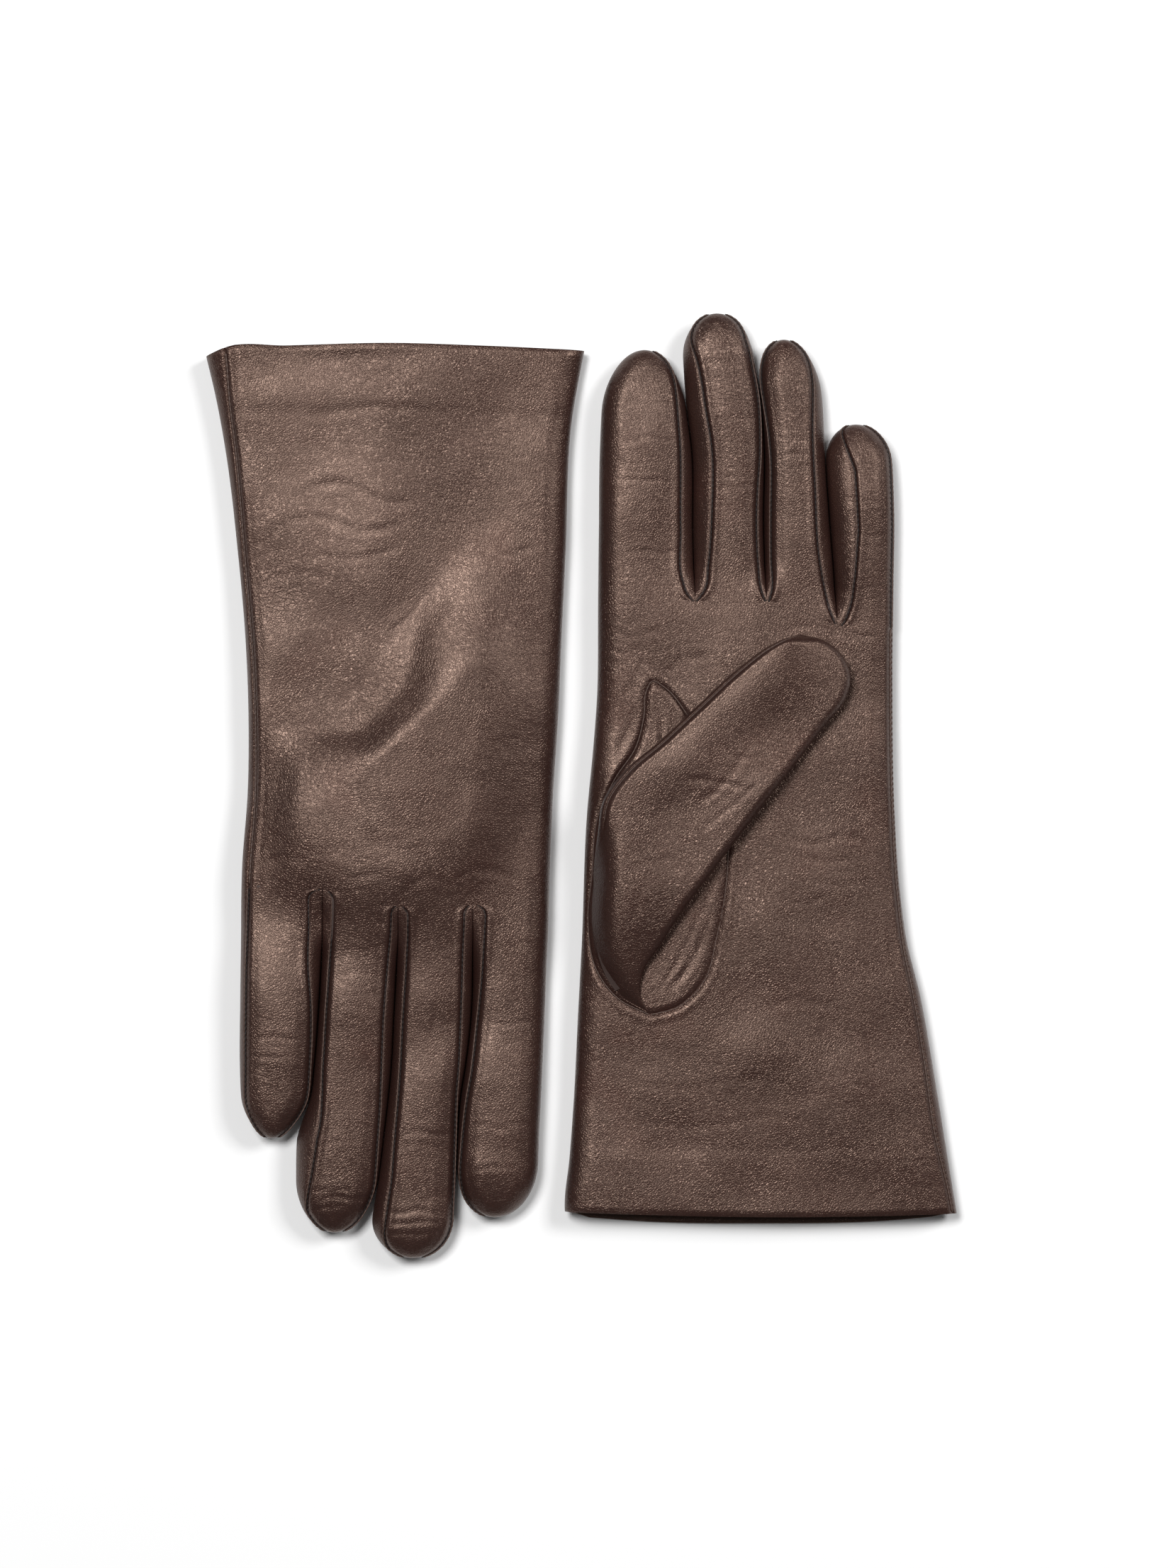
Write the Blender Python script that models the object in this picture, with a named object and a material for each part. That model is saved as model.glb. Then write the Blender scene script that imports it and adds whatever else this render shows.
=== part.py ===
"""A pair of long leather dress gloves, lying flat: the left glove palm up, the right glove back up.

Every glove is drawn in its own flat frame: u runs across the hand from the index-finger side to the
little-finger side, v runs from the cuff to the fingertips, and z is height above the table. The left glove's
frame stands as it is in the world, and the right glove's is turned half round.
"""
import math

import bmesh
import bpy

MM = 0.001

# Leather, lining and the clearances between sewn pieces
LEATHER = 0.8
LINING = 0.35
SEAM_GAP = 0.3
LINING_GAP = 0.65
ROOT_GAP = 0.7
THREAD_RADIUS = 0.3

# Height of the empty, flattened hand and the way that its edges roll over
HAND_HEIGHT = 10.6
CUFF_HEIGHT = 9.6
HAND_CROWN = 0.9
HAND_CORNER = 7.0
FINGER_HEIGHT = 11.0
FINGER_CORNER = 6.6
SIDE_SEAM = 3.85
FLAT_SHARE = 0.35

# The line where the fingers leave the hand: straight, then lower at the little finger
FRONT_LINE = 179.0
FRONT_DROP = 7.5
FRONT_DROP_START = 6.0
FRONT_DROP_END = 32.0

# Slits between the fingers on the back of the hand, which run nearer to the wrist than on the palm
SLIT_HALF_WIDTH = 3.2
SLIT_LENGTH = 19.0
CROTCH_DEPTH = 7.6
SLIT_CUT_LEVEL = 9.5

# Thumb: folded flat across the palm, hinged on a line over its hole
THUMB_TIP_HALF = 14.8
THUMB_DOME = 14.0
THUMB_CORNER = 5.5
THUMB_SEAM = 2.0
HOLE_CUT_ABOVE = 3.0
HOLE_CUT_DEPTH = 7.0
QUIRK_OUTLINE = (
    (-6.0, 109.0), (-11.5, 130.0), (-17.8, 147.5), (-25.0, 155.5), (-28.8, 148.0), (-29.0, 137.0),
)

# Where the right glove's palm is lifted off the table by the thumb folded beneath it
TENT_PALM_RISE = 8.5
TENT_BACK_RISE = 5.4
TENT_MARGIN = 3.0
TENT_SLOPE = 17.0
TENT_FADE = (1.5, 10.0)
TENT_FRONT_FADE = (0.5, 10.0)

LEFT = {
    "name": "left",
    "palm_up": True,
    "place": (47.48, -125.85),
    "cuff": -1.5,
    "thumb_angle": 47.5,
    "thumb_length": 75.6,
    "thumb_height": 8.2,
    "thumb_root": (-25.2, 111.8),
    "thumb_root_half": 19.6,
    "hinge_reach": (-20.5, 25.0),
    "heel_outline": ((-42.3, 100.0), (-42.4, 84.0), (-39.0, 70.5), (-27.5, 60.5), (-15.5, 65.0), (-8.3, 79.0)),
    "index_edge": ((-2, -51.8), (3, -52.2), (18, -50.8), (34, -49.6), (58, -48.4), (81, -47.2), (118, -45.7),
                   (137, -43.9), (150, -42.9), (180, -42.5)),
    "little_edge": ((-2, 62.2), (18, 58.9), (42, 55.0), (65, 50.9), (81, 47.0), (93, 45.3), (118, 43.5),
                    (156, 42.9), (180, 43.1)),
    "index": {"edges": ((171, -42.6, -14.6), (200, -42.3, -15.4), (223, -42.0, -15.6), (236, -41.4, -17.2),
                        (252, -40.0, -17.2)), "tip": 252.2, "dome": 18.0},
    "middle": {"edges": ((171, -13.9, 6.1), (200, -14.7, 5.1), (223, -14.9, 5.4), (240, -17.4, 4.4),
                         (252, -18.8, 2.9), (263, -18.9, 2.4)), "tip": 262.8, "dome": 13.0},
    "ring": {"edges": ((171, 6.9, 26.4), (185, 6.4, 25.6), (205, 5.9, 24.1), (223, 6.1, 22.9),
                       (235, 5.2, 21.9), (255, 1.7, 17.4)), "tip": 255.2, "dome": 16.0},
    "little": {"edges": ((168, 27.2, 43.0), (185, 26.3, 43.2), (205, 24.8, 43.4), (215, 24.1, 43.0),
                         (231, 23.6, 41.4)), "tip": 230.6, "dome": 11.0},
}

RIGHT = {
    "name": "right",
    "palm_up": False,
    "place": (-50.32, 127.65),
    "cuff": -0.5,
    "thumb_angle": 44.0,
    "thumb_length": 70.0,
    "thumb_height": 8.0,
    "thumb_root": (-20.6, 112.6),
    "thumb_root_half": 17.0,
    "hinge_reach": (-18.2, 20.0),
    "heel_outline": ((-37.5, 104.0), (-38.2, 88.0), (-35.5, 72.5), (-26.0, 62.5), (-15.5, 66.0), (-8.3, 80.0)),
    "index_edge": ((-1, -51.8), (21, -47.8), (60, -45.9), (85, -44.7), (108, -43.7), (131, -42.2), (150, -41.4),
                   (180, -40.6)),
    "little_edge": ((-1, 59.4), (16, 55.4), (31, 52.7), (60, 49.2), (85, 47.0), (108, 46.1), (131, 46.4),
                    (150, 47.8), (180, 48.4)),
    "index": {"edges": ((171, -40.6, -19.4), (194, -39.8, -19.0), (208, -39.2, -17.4), (217, -38.8, -15.8),
                        (229, -38.2, -15.1), (241, -37.8, -14.5), (253, -37.2, -13.6)),
              "tip": 252.8, "dome": 16.0},
    "middle": {"edges": ((171, -18.7, 2.2), (194, -18.2, 3.4), (209, -16.6, 4.2), (225, -14.3, 5.7),
                         (241, -13.7, 7.7), (252, -13.1, 10.0), (265, -13.1, 9.4)), "tip": 264.6, "dome": 12.0},
    "ring": {"edges": ((171, 2.9, 24.0), (194, 4.2, 25.2), (209, 5.0, 26.4), (217, 5.8, 27.4),
                       (228, 7.2, 31.6), (241, 8.8, 32.3), (257, 11.0, 31.2)), "tip": 257.2, "dome": 15.0},
    "little": {"edges": ((168, 24.8, 48.2), (190, 26.0, 48.5), (209, 27.4, 48.6), (217, 28.4, 48.3),
                         (230, 32.4, 46.4)), "tip": 229.9, "dome": 12.0},
}

FINGERS = ("index", "middle", "ring", "little")
HINGE_LINES = {"index": 179.0, "middle": 179.0, "ring": 175.5, "little": 171.5}


# ---------------------------------------------------------------- flat curves

def smooth_step(low, high, value):
    part = min(1.0, max(0.0, (value - low) / (high - low)))
    return part * part * (3.0 - 2.0 * part)


def along(stations, column, v):
    """One column of a table of stations, read at v on a smooth curve through them."""
    last = len(stations) - 1
    spot = 0
    while spot < last - 1 and v > stations[spot + 1][0]:
        spot += 1
    before = stations[max(spot - 1, 0)]
    start = stations[spot]
    end = stations[spot + 1]
    after = stations[min(spot + 2, last)]
    span = end[0] - start[0]
    slope_in = (end[column] - before[column]) / (end[0] - before[0])
    slope_out = (after[column] - start[column]) / (after[0] - start[0])
    part = min(1.2, max(-0.2, (v - start[0]) / span))
    square = part * part
    cube = square * part
    return ((2 * cube - 3 * square + 1) * start[column] + (cube - 2 * square + part) * span * slope_in
            + (3 * square - 2 * cube) * end[column] + (cube - square) * span * slope_out)


def through(points, part):
    """A point of the open smooth curve through the given points, from 0 at the first to 1 at the last."""
    last = len(points) - 1
    place = min(part * last, last - 1e-9)
    spot = int(place)
    part = place - spot
    corners = [points[min(max(spot + shift, 0), last)] for shift in (-1, 0, 1, 2)]
    weights = (
        -0.5 * part + part ** 2 - 0.5 * part ** 3,
        1.0 - 2.5 * part ** 2 + 1.5 * part ** 3,
        0.5 * part + 2.0 * part ** 2 - 1.5 * part ** 3,
        -0.5 * part ** 2 + 0.5 * part ** 3,
    )
    return tuple(sum(weight * corner[axis] for weight, corner in zip(weights, corners)) for axis in (0, 1))


def ring(tau, half_width, corner, low, high):
    """A point (u, z) on a flattened tube's outline.

    tau runs once round from 0 to 4: 0 is the little-finger edge, 1 the middle of the underside, 2 the
    index-finger edge and 3 the middle of the upper side.
    """
    tau = tau % 4.0
    flat = half_width - corner
    middle = 0.5 * (low + high)
    half = 0.5 * (high - low)
    if tau < 0.5 or tau > 3.5:
        angle = -math.pi * tau
        return flat + corner * math.cos(angle), middle + half * math.sin(angle)
    if tau <= 1.5:
        return flat * 2.0 * (1.0 - tau), low
    if tau < 2.5:
        angle = -math.pi * (tau - 1.0)
        return -flat + corner * math.cos(angle), middle + half * math.sin(angle)
    return flat * 2.0 * (tau - 3.0), high


def front_line(u):
    return FRONT_LINE - FRONT_DROP * smooth_step(FRONT_DROP_START, FRONT_DROP_END, u)


# ---------------------------------------------------------------- the thumb's frame

def thumb_axes(glove):
    """Flat unit vectors along the thumb and across it."""
    angle = math.radians(glove["thumb_angle"])
    return (math.cos(angle), math.sin(angle)), (math.sin(angle), -math.cos(angle))


def from_thumb(glove, reach, across):
    """A flat point from its distance along the thumb from the hinge line and across it."""
    forward, sideways = thumb_axes(glove)
    root_u, root_v = glove["thumb_root"]
    return root_u + reach * forward[0] + across * sideways[0], root_v + reach * forward[1] + across * sideways[1]


def to_thumb(glove, u, v):
    forward, sideways = thumb_axes(glove)
    du = u - glove["thumb_root"][0]
    dv = v - glove["thumb_root"][1]
    return du * forward[0] + dv * forward[1], du * sideways[0] + dv * sideways[1]


def thumb_half(glove, reach):
    taper = smooth_step(-10.0, glove["thumb_length"] - THUMB_DOME, reach)
    return glove["thumb_root_half"] + (THUMB_TIP_HALF - glove["thumb_root_half"]) * taper


def tent(glove, u, v):
    """How far the folded thumb lifts the leather above it: 1 over the thumb, 0 well clear of it."""
    reach, across = to_thumb(glove, u, v)
    nearest = min(max(reach, 3.0), glove["thumb_length"] - THUMB_DOME)
    core = thumb_half(glove, nearest) - THUMB_DOME
    outside = math.hypot(reach - nearest, max(abs(across) - core, 0.0)) - THUMB_DOME
    fade = smooth_step(*TENT_FADE, u - along(glove["index_edge"], 1, v))
    fade *= smooth_step(*TENT_FRONT_FADE, front_line(u) - v)
    return fade * (1.0 - smooth_step(TENT_MARGIN, TENT_MARGIN + TENT_SLOPE, outside))


# ---------------------------------------------------------------- the hand

def spread(way_round):
    """Moves the columns of a wide hand's grid out of its rolled edges and onto its flats."""
    return way_round + FLAT_SHARE * math.sin(math.pi * way_round) / math.pi


def hand_point(glove, tau, v, inset=0.0):
    """A point of the hand's outer skin, or of a skin that lies inset millimetres inside it."""
    index_side = along(glove["index_edge"], 1, v)
    little_side = along(glove["little_edge"], 1, v)
    half_width = 0.5 * (little_side - index_side)
    height = CUFF_HEIGHT + (HAND_HEIGHT - CUFF_HEIGHT) * smooth_step(10.0, 110.0, v)
    u, z = ring(tau, half_width - inset, HAND_CORNER - inset, inset, height - inset)
    share = (z - inset) / (height - 2.0 * inset)
    z += HAND_CROWN * share * (1.0 - (u / half_width) ** 2)
    u += 0.5 * (index_side + little_side)
    if not glove["palm_up"]:
        z += tent(glove, u, v) * (TENT_PALM_RISE + (TENT_BACK_RISE - TENT_PALM_RISE) * share)
    return u, z


def palm_height(glove, u, v):
    """Height of the palm's outer skin over a flat point."""
    index_side = along(glove["index_edge"], 1, v)
    little_side = along(glove["little_edge"], 1, v)
    half_width = 0.5 * (little_side - index_side)
    offset = u - 0.5 * (index_side + little_side)
    flat = half_width - HAND_CORNER
    roll = min(1.0, max(0.0, (abs(offset) - flat) / HAND_CORNER))
    height = CUFF_HEIGHT + (HAND_HEIGHT - CUFF_HEIGHT) * smooth_step(10.0, 110.0, v)
    drop = 0.5 * height * (1.0 - math.sqrt(1.0 - roll * roll))
    if glove["palm_up"]:
        return height - drop + HAND_CROWN * (1.0 - (offset / half_width) ** 2)
    return drop + tent(glove, u, v) * (TENT_PALM_RISE + (TENT_BACK_RISE - TENT_PALM_RISE) * drop / height)


# ---------------------------------------------------------------- making objects

def clear_scene():
    for item in list(bpy.data.objects):
        bpy.data.objects.remove(item, do_unlink=True)


def make_collection(name):
    collection = bpy.data.collections.new(name)
    bpy.context.scene.collection.children.link(collection)
    return collection


def make_material(name, colour, roughness):
    material = bpy.data.materials.new(name)
    material.use_nodes = True
    shader = material.node_tree.nodes["Principled BSDF"]
    shader.inputs["Base Color"].default_value = (*colour, 1.0)
    shader.inputs["Roughness"].default_value = roughness
    shader.inputs["Metallic"].default_value = 0.0
    return material


def make_empty(collection, name, location, turn=0.0, parent=None):
    empty = bpy.data.objects.new(name, None)
    empty.location = location
    empty.rotation_euler = (0.0, 0.0, turn)
    empty.parent = parent
    collection.objects.link(empty)
    return empty


class Bench:
    """Makes one glove's pieces: it knows their collection, their materials and their parents."""

    def __init__(self, glove, parts, cutters, materials):
        self.glove = glove
        self.parts = parts
        self.cutters = cutters
        self.materials = materials
        turn = 0.0 if glove["palm_up"] else math.pi
        place = (glove["place"][0] * MM, glove["place"][1] * MM, 0.0)
        self.frame = make_empty(parts, glove["name"] + "_glove_frame", place, turn)

    def pivot(self, name, u, v, z):
        place = (u * MM, v * MM, z * MM)
        return make_empty(self.parts, f"{self.glove['name']}_{name}_pivot", place, parent=self.frame)

    def add(self, name, mesh, material, pivot=None, collection=None):
        full_name = f"{self.glove['name']}_{name}"
        item = bpy.data.objects.new(full_name, mesh)
        mesh.name = full_name
        item.parent = pivot or self.frame
        if material:
            mesh.materials.append(self.materials[material])
        (collection or self.parts).objects.link(item)
        return item

    def sheet_mesh(self, name, shape, columns, rows, thickness, origin=(0.0, 0.0, 0.0)):
        """A closed panel: a grid and its extruded copy, bent to shape(t, s, depth) in millimetres."""
        builder = bmesh.new()
        bmesh.ops.create_grid(builder, x_segments=columns, y_segments=rows, size=0.5)
        outer = list(builder.verts)
        result = bmesh.ops.extrude_face_region(builder, geom=builder.faces[:], use_keep_orig=True)
        inner = [item for item in result["geom"] if isinstance(item, bmesh.types.BMVert)]
        for layer, depth in ((outer, 0.0), (inner, thickness)):
            for corner in layer:
                u, v, z = shape(corner.co.x + 0.5, corner.co.y + 0.5, depth)
                corner.co = (u * MM - origin[0], v * MM - origin[1], z * MM - origin[2])
        bmesh.ops.triangulate(builder, faces=builder.faces, quad_method="SHORT_EDGE")
        bmesh.ops.recalc_face_normals(builder, faces=builder.faces)
        if builder.calc_volume(signed=True) < 0.0:
            bmesh.ops.reverse_faces(builder, faces=builder.faces)
        mesh = bpy.data.meshes.new(name)
        builder.to_mesh(mesh)
        builder.free()
        return mesh

    def sheet(self, name, shape, columns, rows, thickness, material="leather", pivot=None):
        """A sewn panel as an object of its own, placed on its pivot."""
        origin = pivot.location if pivot else (0.0, 0.0, 0.0)
        mesh = self.sheet_mesh(name, shape, columns, rows, thickness, origin)
        mesh.shade_smooth()
        mesh.set_sharp_from_angle(angle=math.radians(50.0))
        return self.add(name, mesh, material, pivot)

    def cutter(self, name, mesh, location=(0.0, 0.0, 0.0)):
        item = self.add(name, mesh, None, collection=self.cutters)
        item.location = location
        item.hide_render = True
        item.display_type = "WIRE"
        return item

    def slit_cutter(self, name, u, v, low, high):
        """An upright oval block: half of it cuts a slit with a round end into the hand's front edge."""
        builder = bmesh.new()
        bmesh.ops.create_cone(builder, cap_ends=True, segments=20, radius1=MM, radius2=MM,
                              depth=(high - low) * MM)
        bmesh.ops.scale(builder, vec=(SLIT_HALF_WIDTH, SLIT_LENGTH, 1.0), verts=builder.verts)
        mesh = bpy.data.meshes.new(name)
        builder.to_mesh(mesh)
        builder.free()
        return self.cutter(name, mesh, (u * MM, v * MM, 0.5 * (low + high) * MM))

    def thread(self, name, points, pivot=None):
        """A sewing thread: a thin round tube through the given points, in millimetres."""
        origin = pivot.location if pivot else (0.0, 0.0, 0.0)
        curve = bpy.data.curves.new(name, "CURVE")
        curve.dimensions = "3D"
        curve.bevel_depth = THREAD_RADIUS * MM
        curve.bevel_resolution = 1
        curve.use_fill_caps = True
        spline = curve.splines.new("POLY")
        spline.points.add(len(points) - 1)
        for point, (u, v, z) in zip(spline.points, points):
            point.co = (u * MM - origin[0], v * MM - origin[1], z * MM - origin[2], 1.0)
        guide = bpy.data.objects.new(name, curve)
        self.parts.objects.link(guide)
        mesh = bpy.data.meshes.new_from_object(guide.evaluated_get(bpy.context.evaluated_depsgraph_get()))
        bpy.data.objects.remove(guide, do_unlink=True)
        welder = bmesh.new()
        welder.from_mesh(mesh)
        bmesh.ops.remove_doubles(welder, verts=welder.verts, dist=0.00001)
        welder.to_mesh(mesh)
        welder.free()
        mesh.materials.clear()
        return self.add(name, mesh, "thread", pivot)


def cut(item, tool):
    boolean = item.modifiers.new("cut_" + tool.name, "BOOLEAN")
    boolean.operation = "DIFFERENCE"
    boolean.object = tool


# ---------------------------------------------------------------- hand, slits and crotches

def slit_centres(glove):
    """Where neighbouring fingers part, on the front line."""
    centres = []
    for name, after in zip(FINGERS, FINGERS[1:]):
        near = along(glove[name]["edges"], 2, FRONT_LINE - 4.0)
        far = along(glove[after]["edges"], 1, FRONT_LINE - 4.0)
        centres.append(0.5 * (near + far))
    return centres


def hinge_ends(glove):
    return [from_thumb(glove, 0.0, reach) for reach in glove["hinge_reach"]]


def inside_edge(points, part, inset):
    """A point of the curve through the points, moved inset to its left."""
    before = through(points, max(part - 0.01, 0.0))
    after = through(points, min(part + 0.01, 1.0))
    du = after[0] - before[0]
    dv = after[1] - before[1]
    length = math.hypot(du, dv)
    u, v = through(points, part)
    return u - inset * dv / length, v + inset * du / length


def make_hole_cutters(bench):
    """Two blocks that follow the palm's skin, one on each side of the thumb's hinge line."""
    glove = bench.glove
    near, far = hinge_ends(glove)
    reach_near, reach_far = glove["hinge_reach"]
    outward = 1.0 if glove["palm_up"] else -1.0
    halves = (
        ("heel_cutter", (near, *glove["heel_outline"], far), reach_near, reach_far, 0.6),
        ("quirk_cutter", (far, *QUIRK_OUTLINE, near), reach_far, reach_near, -0.6),
    )
    cutters = []
    for name, edge, first, last, overlap in halves:

        def block(t, s, depth, edge=edge, first=first, last=last, overlap=overlap):
            t = 0.01 + 0.98 * t
            base_u, base_v = from_thumb(glove, overlap, first + (last - first) * t)
            u, v = through(edge, t)
            u = base_u + (u - base_u) * s
            v = base_v + (v - base_v) * s
            return u, v, palm_height(glove, u, v) + outward * (HOLE_CUT_ABOVE - depth)

        mesh = bench.sheet_mesh(name, block, 22, 6, HOLE_CUT_DEPTH)
        cutters.append(bench.cutter(name, mesh))
    return cutters


def make_hand(bench):
    glove = bench.glove
    edge_gap = 0.5 * SEAM_GAP / (math.pi * HAND_CORNER)
    columns = 26
    rows, lining_rows = (12, 10) if glove["palm_up"] else (20, 17)

    def skin(t, s, inset):
        tau = spread(SIDE_SEAM + edge_gap + t * (4.0 - 2.0 * edge_gap))
        u, z = hand_point(glove, tau, FRONT_LINE, inset)
        v = glove["cuff"] + s * (front_line(u) - glove["cuff"])
        u, z = hand_point(glove, tau, v, inset)
        return u, v, z

    def lining_skin(t, s, depth):
        return skin(t, s * lining_rows / rows, LEATHER + LINING_GAP + depth)

    hand = bench.sheet("hand_leather", skin, columns, rows, LEATHER)
    lining = bench.sheet("hand_lining", lining_skin, columns, lining_rows, LINING, material="lining")

    for half_hole in make_hole_cutters(bench):
        cut(hand, half_hole)
        cut(lining, half_hole)

    slit_levels = (-5.0, 5.0) if glove["palm_up"] else (SLIT_CUT_LEVEL, 30.0)
    for number, u in enumerate(slit_centres(glove)):
        slit = bench.slit_cutter(f"slit_cutter_{number + 1}", u, front_line(u), *slit_levels)
        cut(hand, slit)

    seam = []
    steps = 12
    for step in range(steps + 1):
        v = glove["cuff"] + 1.0 + (front_line(45.0) - glove["cuff"] - 2.0) * step / steps
        u, z = hand_point(glove, spread(SIDE_SEAM), v, -0.4 - THREAD_RADIUS)
        seam.append((u, v, z))
    bench.thread("side_seam_thread", seam)


def make_crotches(bench):
    """The roots of the fourchettes: a trough that falls from the back's slit end to the palm's."""
    glove = bench.glove
    names = ("index_middle", "middle_ring", "ring_little")
    for name, centre in zip(names, slit_centres(glove)):

        def trough(t, s, depth, centre=centre):
            reach = 0.14 + 0.86 * s
            half = (SLIT_HALF_WIDTH - 0.35) * math.sqrt(1.0 - (1.0 - reach) ** 2) - depth
            side = 2.0 * t - 1.0
            u = centre + half * side
            v = front_line(u) - (SLIT_LENGTH - 0.5) * (1.0 - reach)
            fall = CROTCH_DEPTH * reach * (1.0 - side ** 4) - depth * (1.0 - side ** 4)
            if glove["palm_up"]:
                return u, v, 0.1 + fall
            height = HAND_HEIGHT + TENT_BACK_RISE * tent(glove, u, v)
            return u, v, max(height - fall, palm_height(glove, u, v) + 2.2)

        bench.sheet("crotch_" + name, trough, 6, 3, 0.5)


# ---------------------------------------------------------------- fingers

DOME_END = math.radians(87.0)
BODY_SHARE = 3.0 / 7.0
LEAST_HALF_PANEL = 0.012


def dome_angle(s):
    """How far round the fingertip's dome a row is: 0 along the straight part of the finger."""
    return DOME_END * max(0.0, s - BODY_SHARE) / (1.0 - BODY_SHARE)


def finger_point(glove, name, tau, s, inset, root_gap=ROOT_GAP):
    """A point of one finger's skin: tau goes round it and s from its root to its tip."""
    finger = glove[name]
    tip = finger["tip"] - inset
    dome = finger["dome"] - inset
    angle = dome_angle(s)

    def section(v, width, height):
        index_side = along(finger["edges"], 1, v)
        little_side = along(finger["edges"], 2, v)
        half_width = 0.5 * (little_side - index_side) - inset
        corner = min(FINGER_CORNER - inset, half_width - 0.3)
        middle = 0.5 * FINGER_HEIGHT
        half = (middle - inset) * height
        u, z = ring(tau, half_width * width, corner * width, middle - half, middle + half)
        return u + 0.5 * (index_side + little_side), v, z

    straight_end = tip - dome
    if angle > 0.0:
        return section(straight_end + dome * math.sin(angle), math.cos(angle) ** 0.9, math.cos(angle) ** 0.8)
    root = front_line(section(FRONT_LINE - 4.0, 1.0, 1.0)[0]) + root_gap
    return section(root + (straight_end - root) * s / BODY_SHARE, 1.0, 1.0)


def seam_offset(s):
    """How far from the finger's side edge its seams run: they close on the edge at the tip."""
    return 0.03 + 0.29 * (1.0 - smooth_step(0.4, 1.0, s))


def gap_in_tau(s):
    """Half of a seam's clearance, as a share of the way round: it counts for more where the tip narrows."""
    narrowing = max(0.08, math.cos(dome_angle(s)))
    return 0.6 * SEAM_GAP / (math.pi * FINGER_CORNER * narrowing)


def make_finger(bench, name):
    glove = bench.glove
    edges = glove[name]["edges"]
    hinge = HINGE_LINES[name]
    middle = 0.5 * (along(edges, 1, hinge) + along(edges, 2, hinge))
    pivot = bench.pivot(name, middle, hinge, FINGER_HEIGHT)

    def panel(label, columns, start, end):
        """The strip of the finger's skin between two seams, each given as tau of s."""

        def shape(t, s, depth):
            middle = 0.5 * (start(s) + end(s))
            half = max(0.5 * (end(s) - start(s)) - gap_in_tau(s), LEAST_HALF_PANEL)
            return finger_point(glove, name, middle + half * (2.0 * t - 1.0), s, depth)

        bench.sheet(f"{name}_{label}", shape, columns, 7, LEATHER, pivot=pivot)

    def little_under(s):
        return seam_offset(s)

    def index_under(s):
        return 2.0 - seam_offset(s)

    def index_over(s):
        return 2.0 + seam_offset(s)

    def little_over(s):
        return 4.0 - seam_offset(s)

    under, over = ("back", "palm") if glove["palm_up"] else ("palm", "back")
    if name == "index":
        panel("leather", 12, little_under, little_over)
    elif name == "little":
        panel(over, 6, index_over, lambda s: 4.0)
        panel(under, 6, lambda s: 0.0, index_under)
    else:
        panel(over, 5, index_over, little_over)
        panel(under, 5, little_under, index_under)
    if name != "index":
        panel("fourchette_index_side", 2, index_under, index_over)
    if name != "little":
        panel("fourchette_little_side", 2, little_over, lambda s: 4.0 + little_under(s))

    def lining(t, s, depth):
        inset = LEATHER + LINING_GAP + depth
        return finger_point(glove, name, 0.02 + 3.96 * t, s, inset, root_gap=1.6)

    bench.sheet(f"{name}_lining", lining, 12, 7, LINING, material="lining", pivot=pivot)


# ---------------------------------------------------------------- thumb

def thumb_levels(glove):
    """The lowest and highest level of the folded thumb's outer skin."""
    if glove["palm_up"]:
        low = HAND_HEIGHT + HAND_CROWN + 0.4
        return low, low + glove["thumb_height"]
    return 0.0, glove["thumb_height"]


def thumb_point(glove, tau, s, inset, root_gap=0.15):
    low, high = thumb_levels(glove)
    length = glove["thumb_length"] - inset
    dome = THUMB_DOME - inset
    angle = dome_angle(s)
    if angle > 0.0:
        reach = length - dome + dome * math.sin(angle)
    else:
        reach = root_gap + (length - dome - root_gap) * s / BODY_SHARE
    half_width = (thumb_half(glove, reach) - inset) * math.cos(angle) ** 0.95
    middle = 0.5 * (low + high)
    half = (0.5 * (high - low) - inset) * math.cos(angle) ** 0.8
    corner = (THUMB_CORNER - inset) * math.cos(angle) ** 0.95
    across, z = ring(tau, half_width, corner, middle - half, middle + half)
    u, v = from_thumb(glove, reach, across)
    return u, v, z


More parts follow.
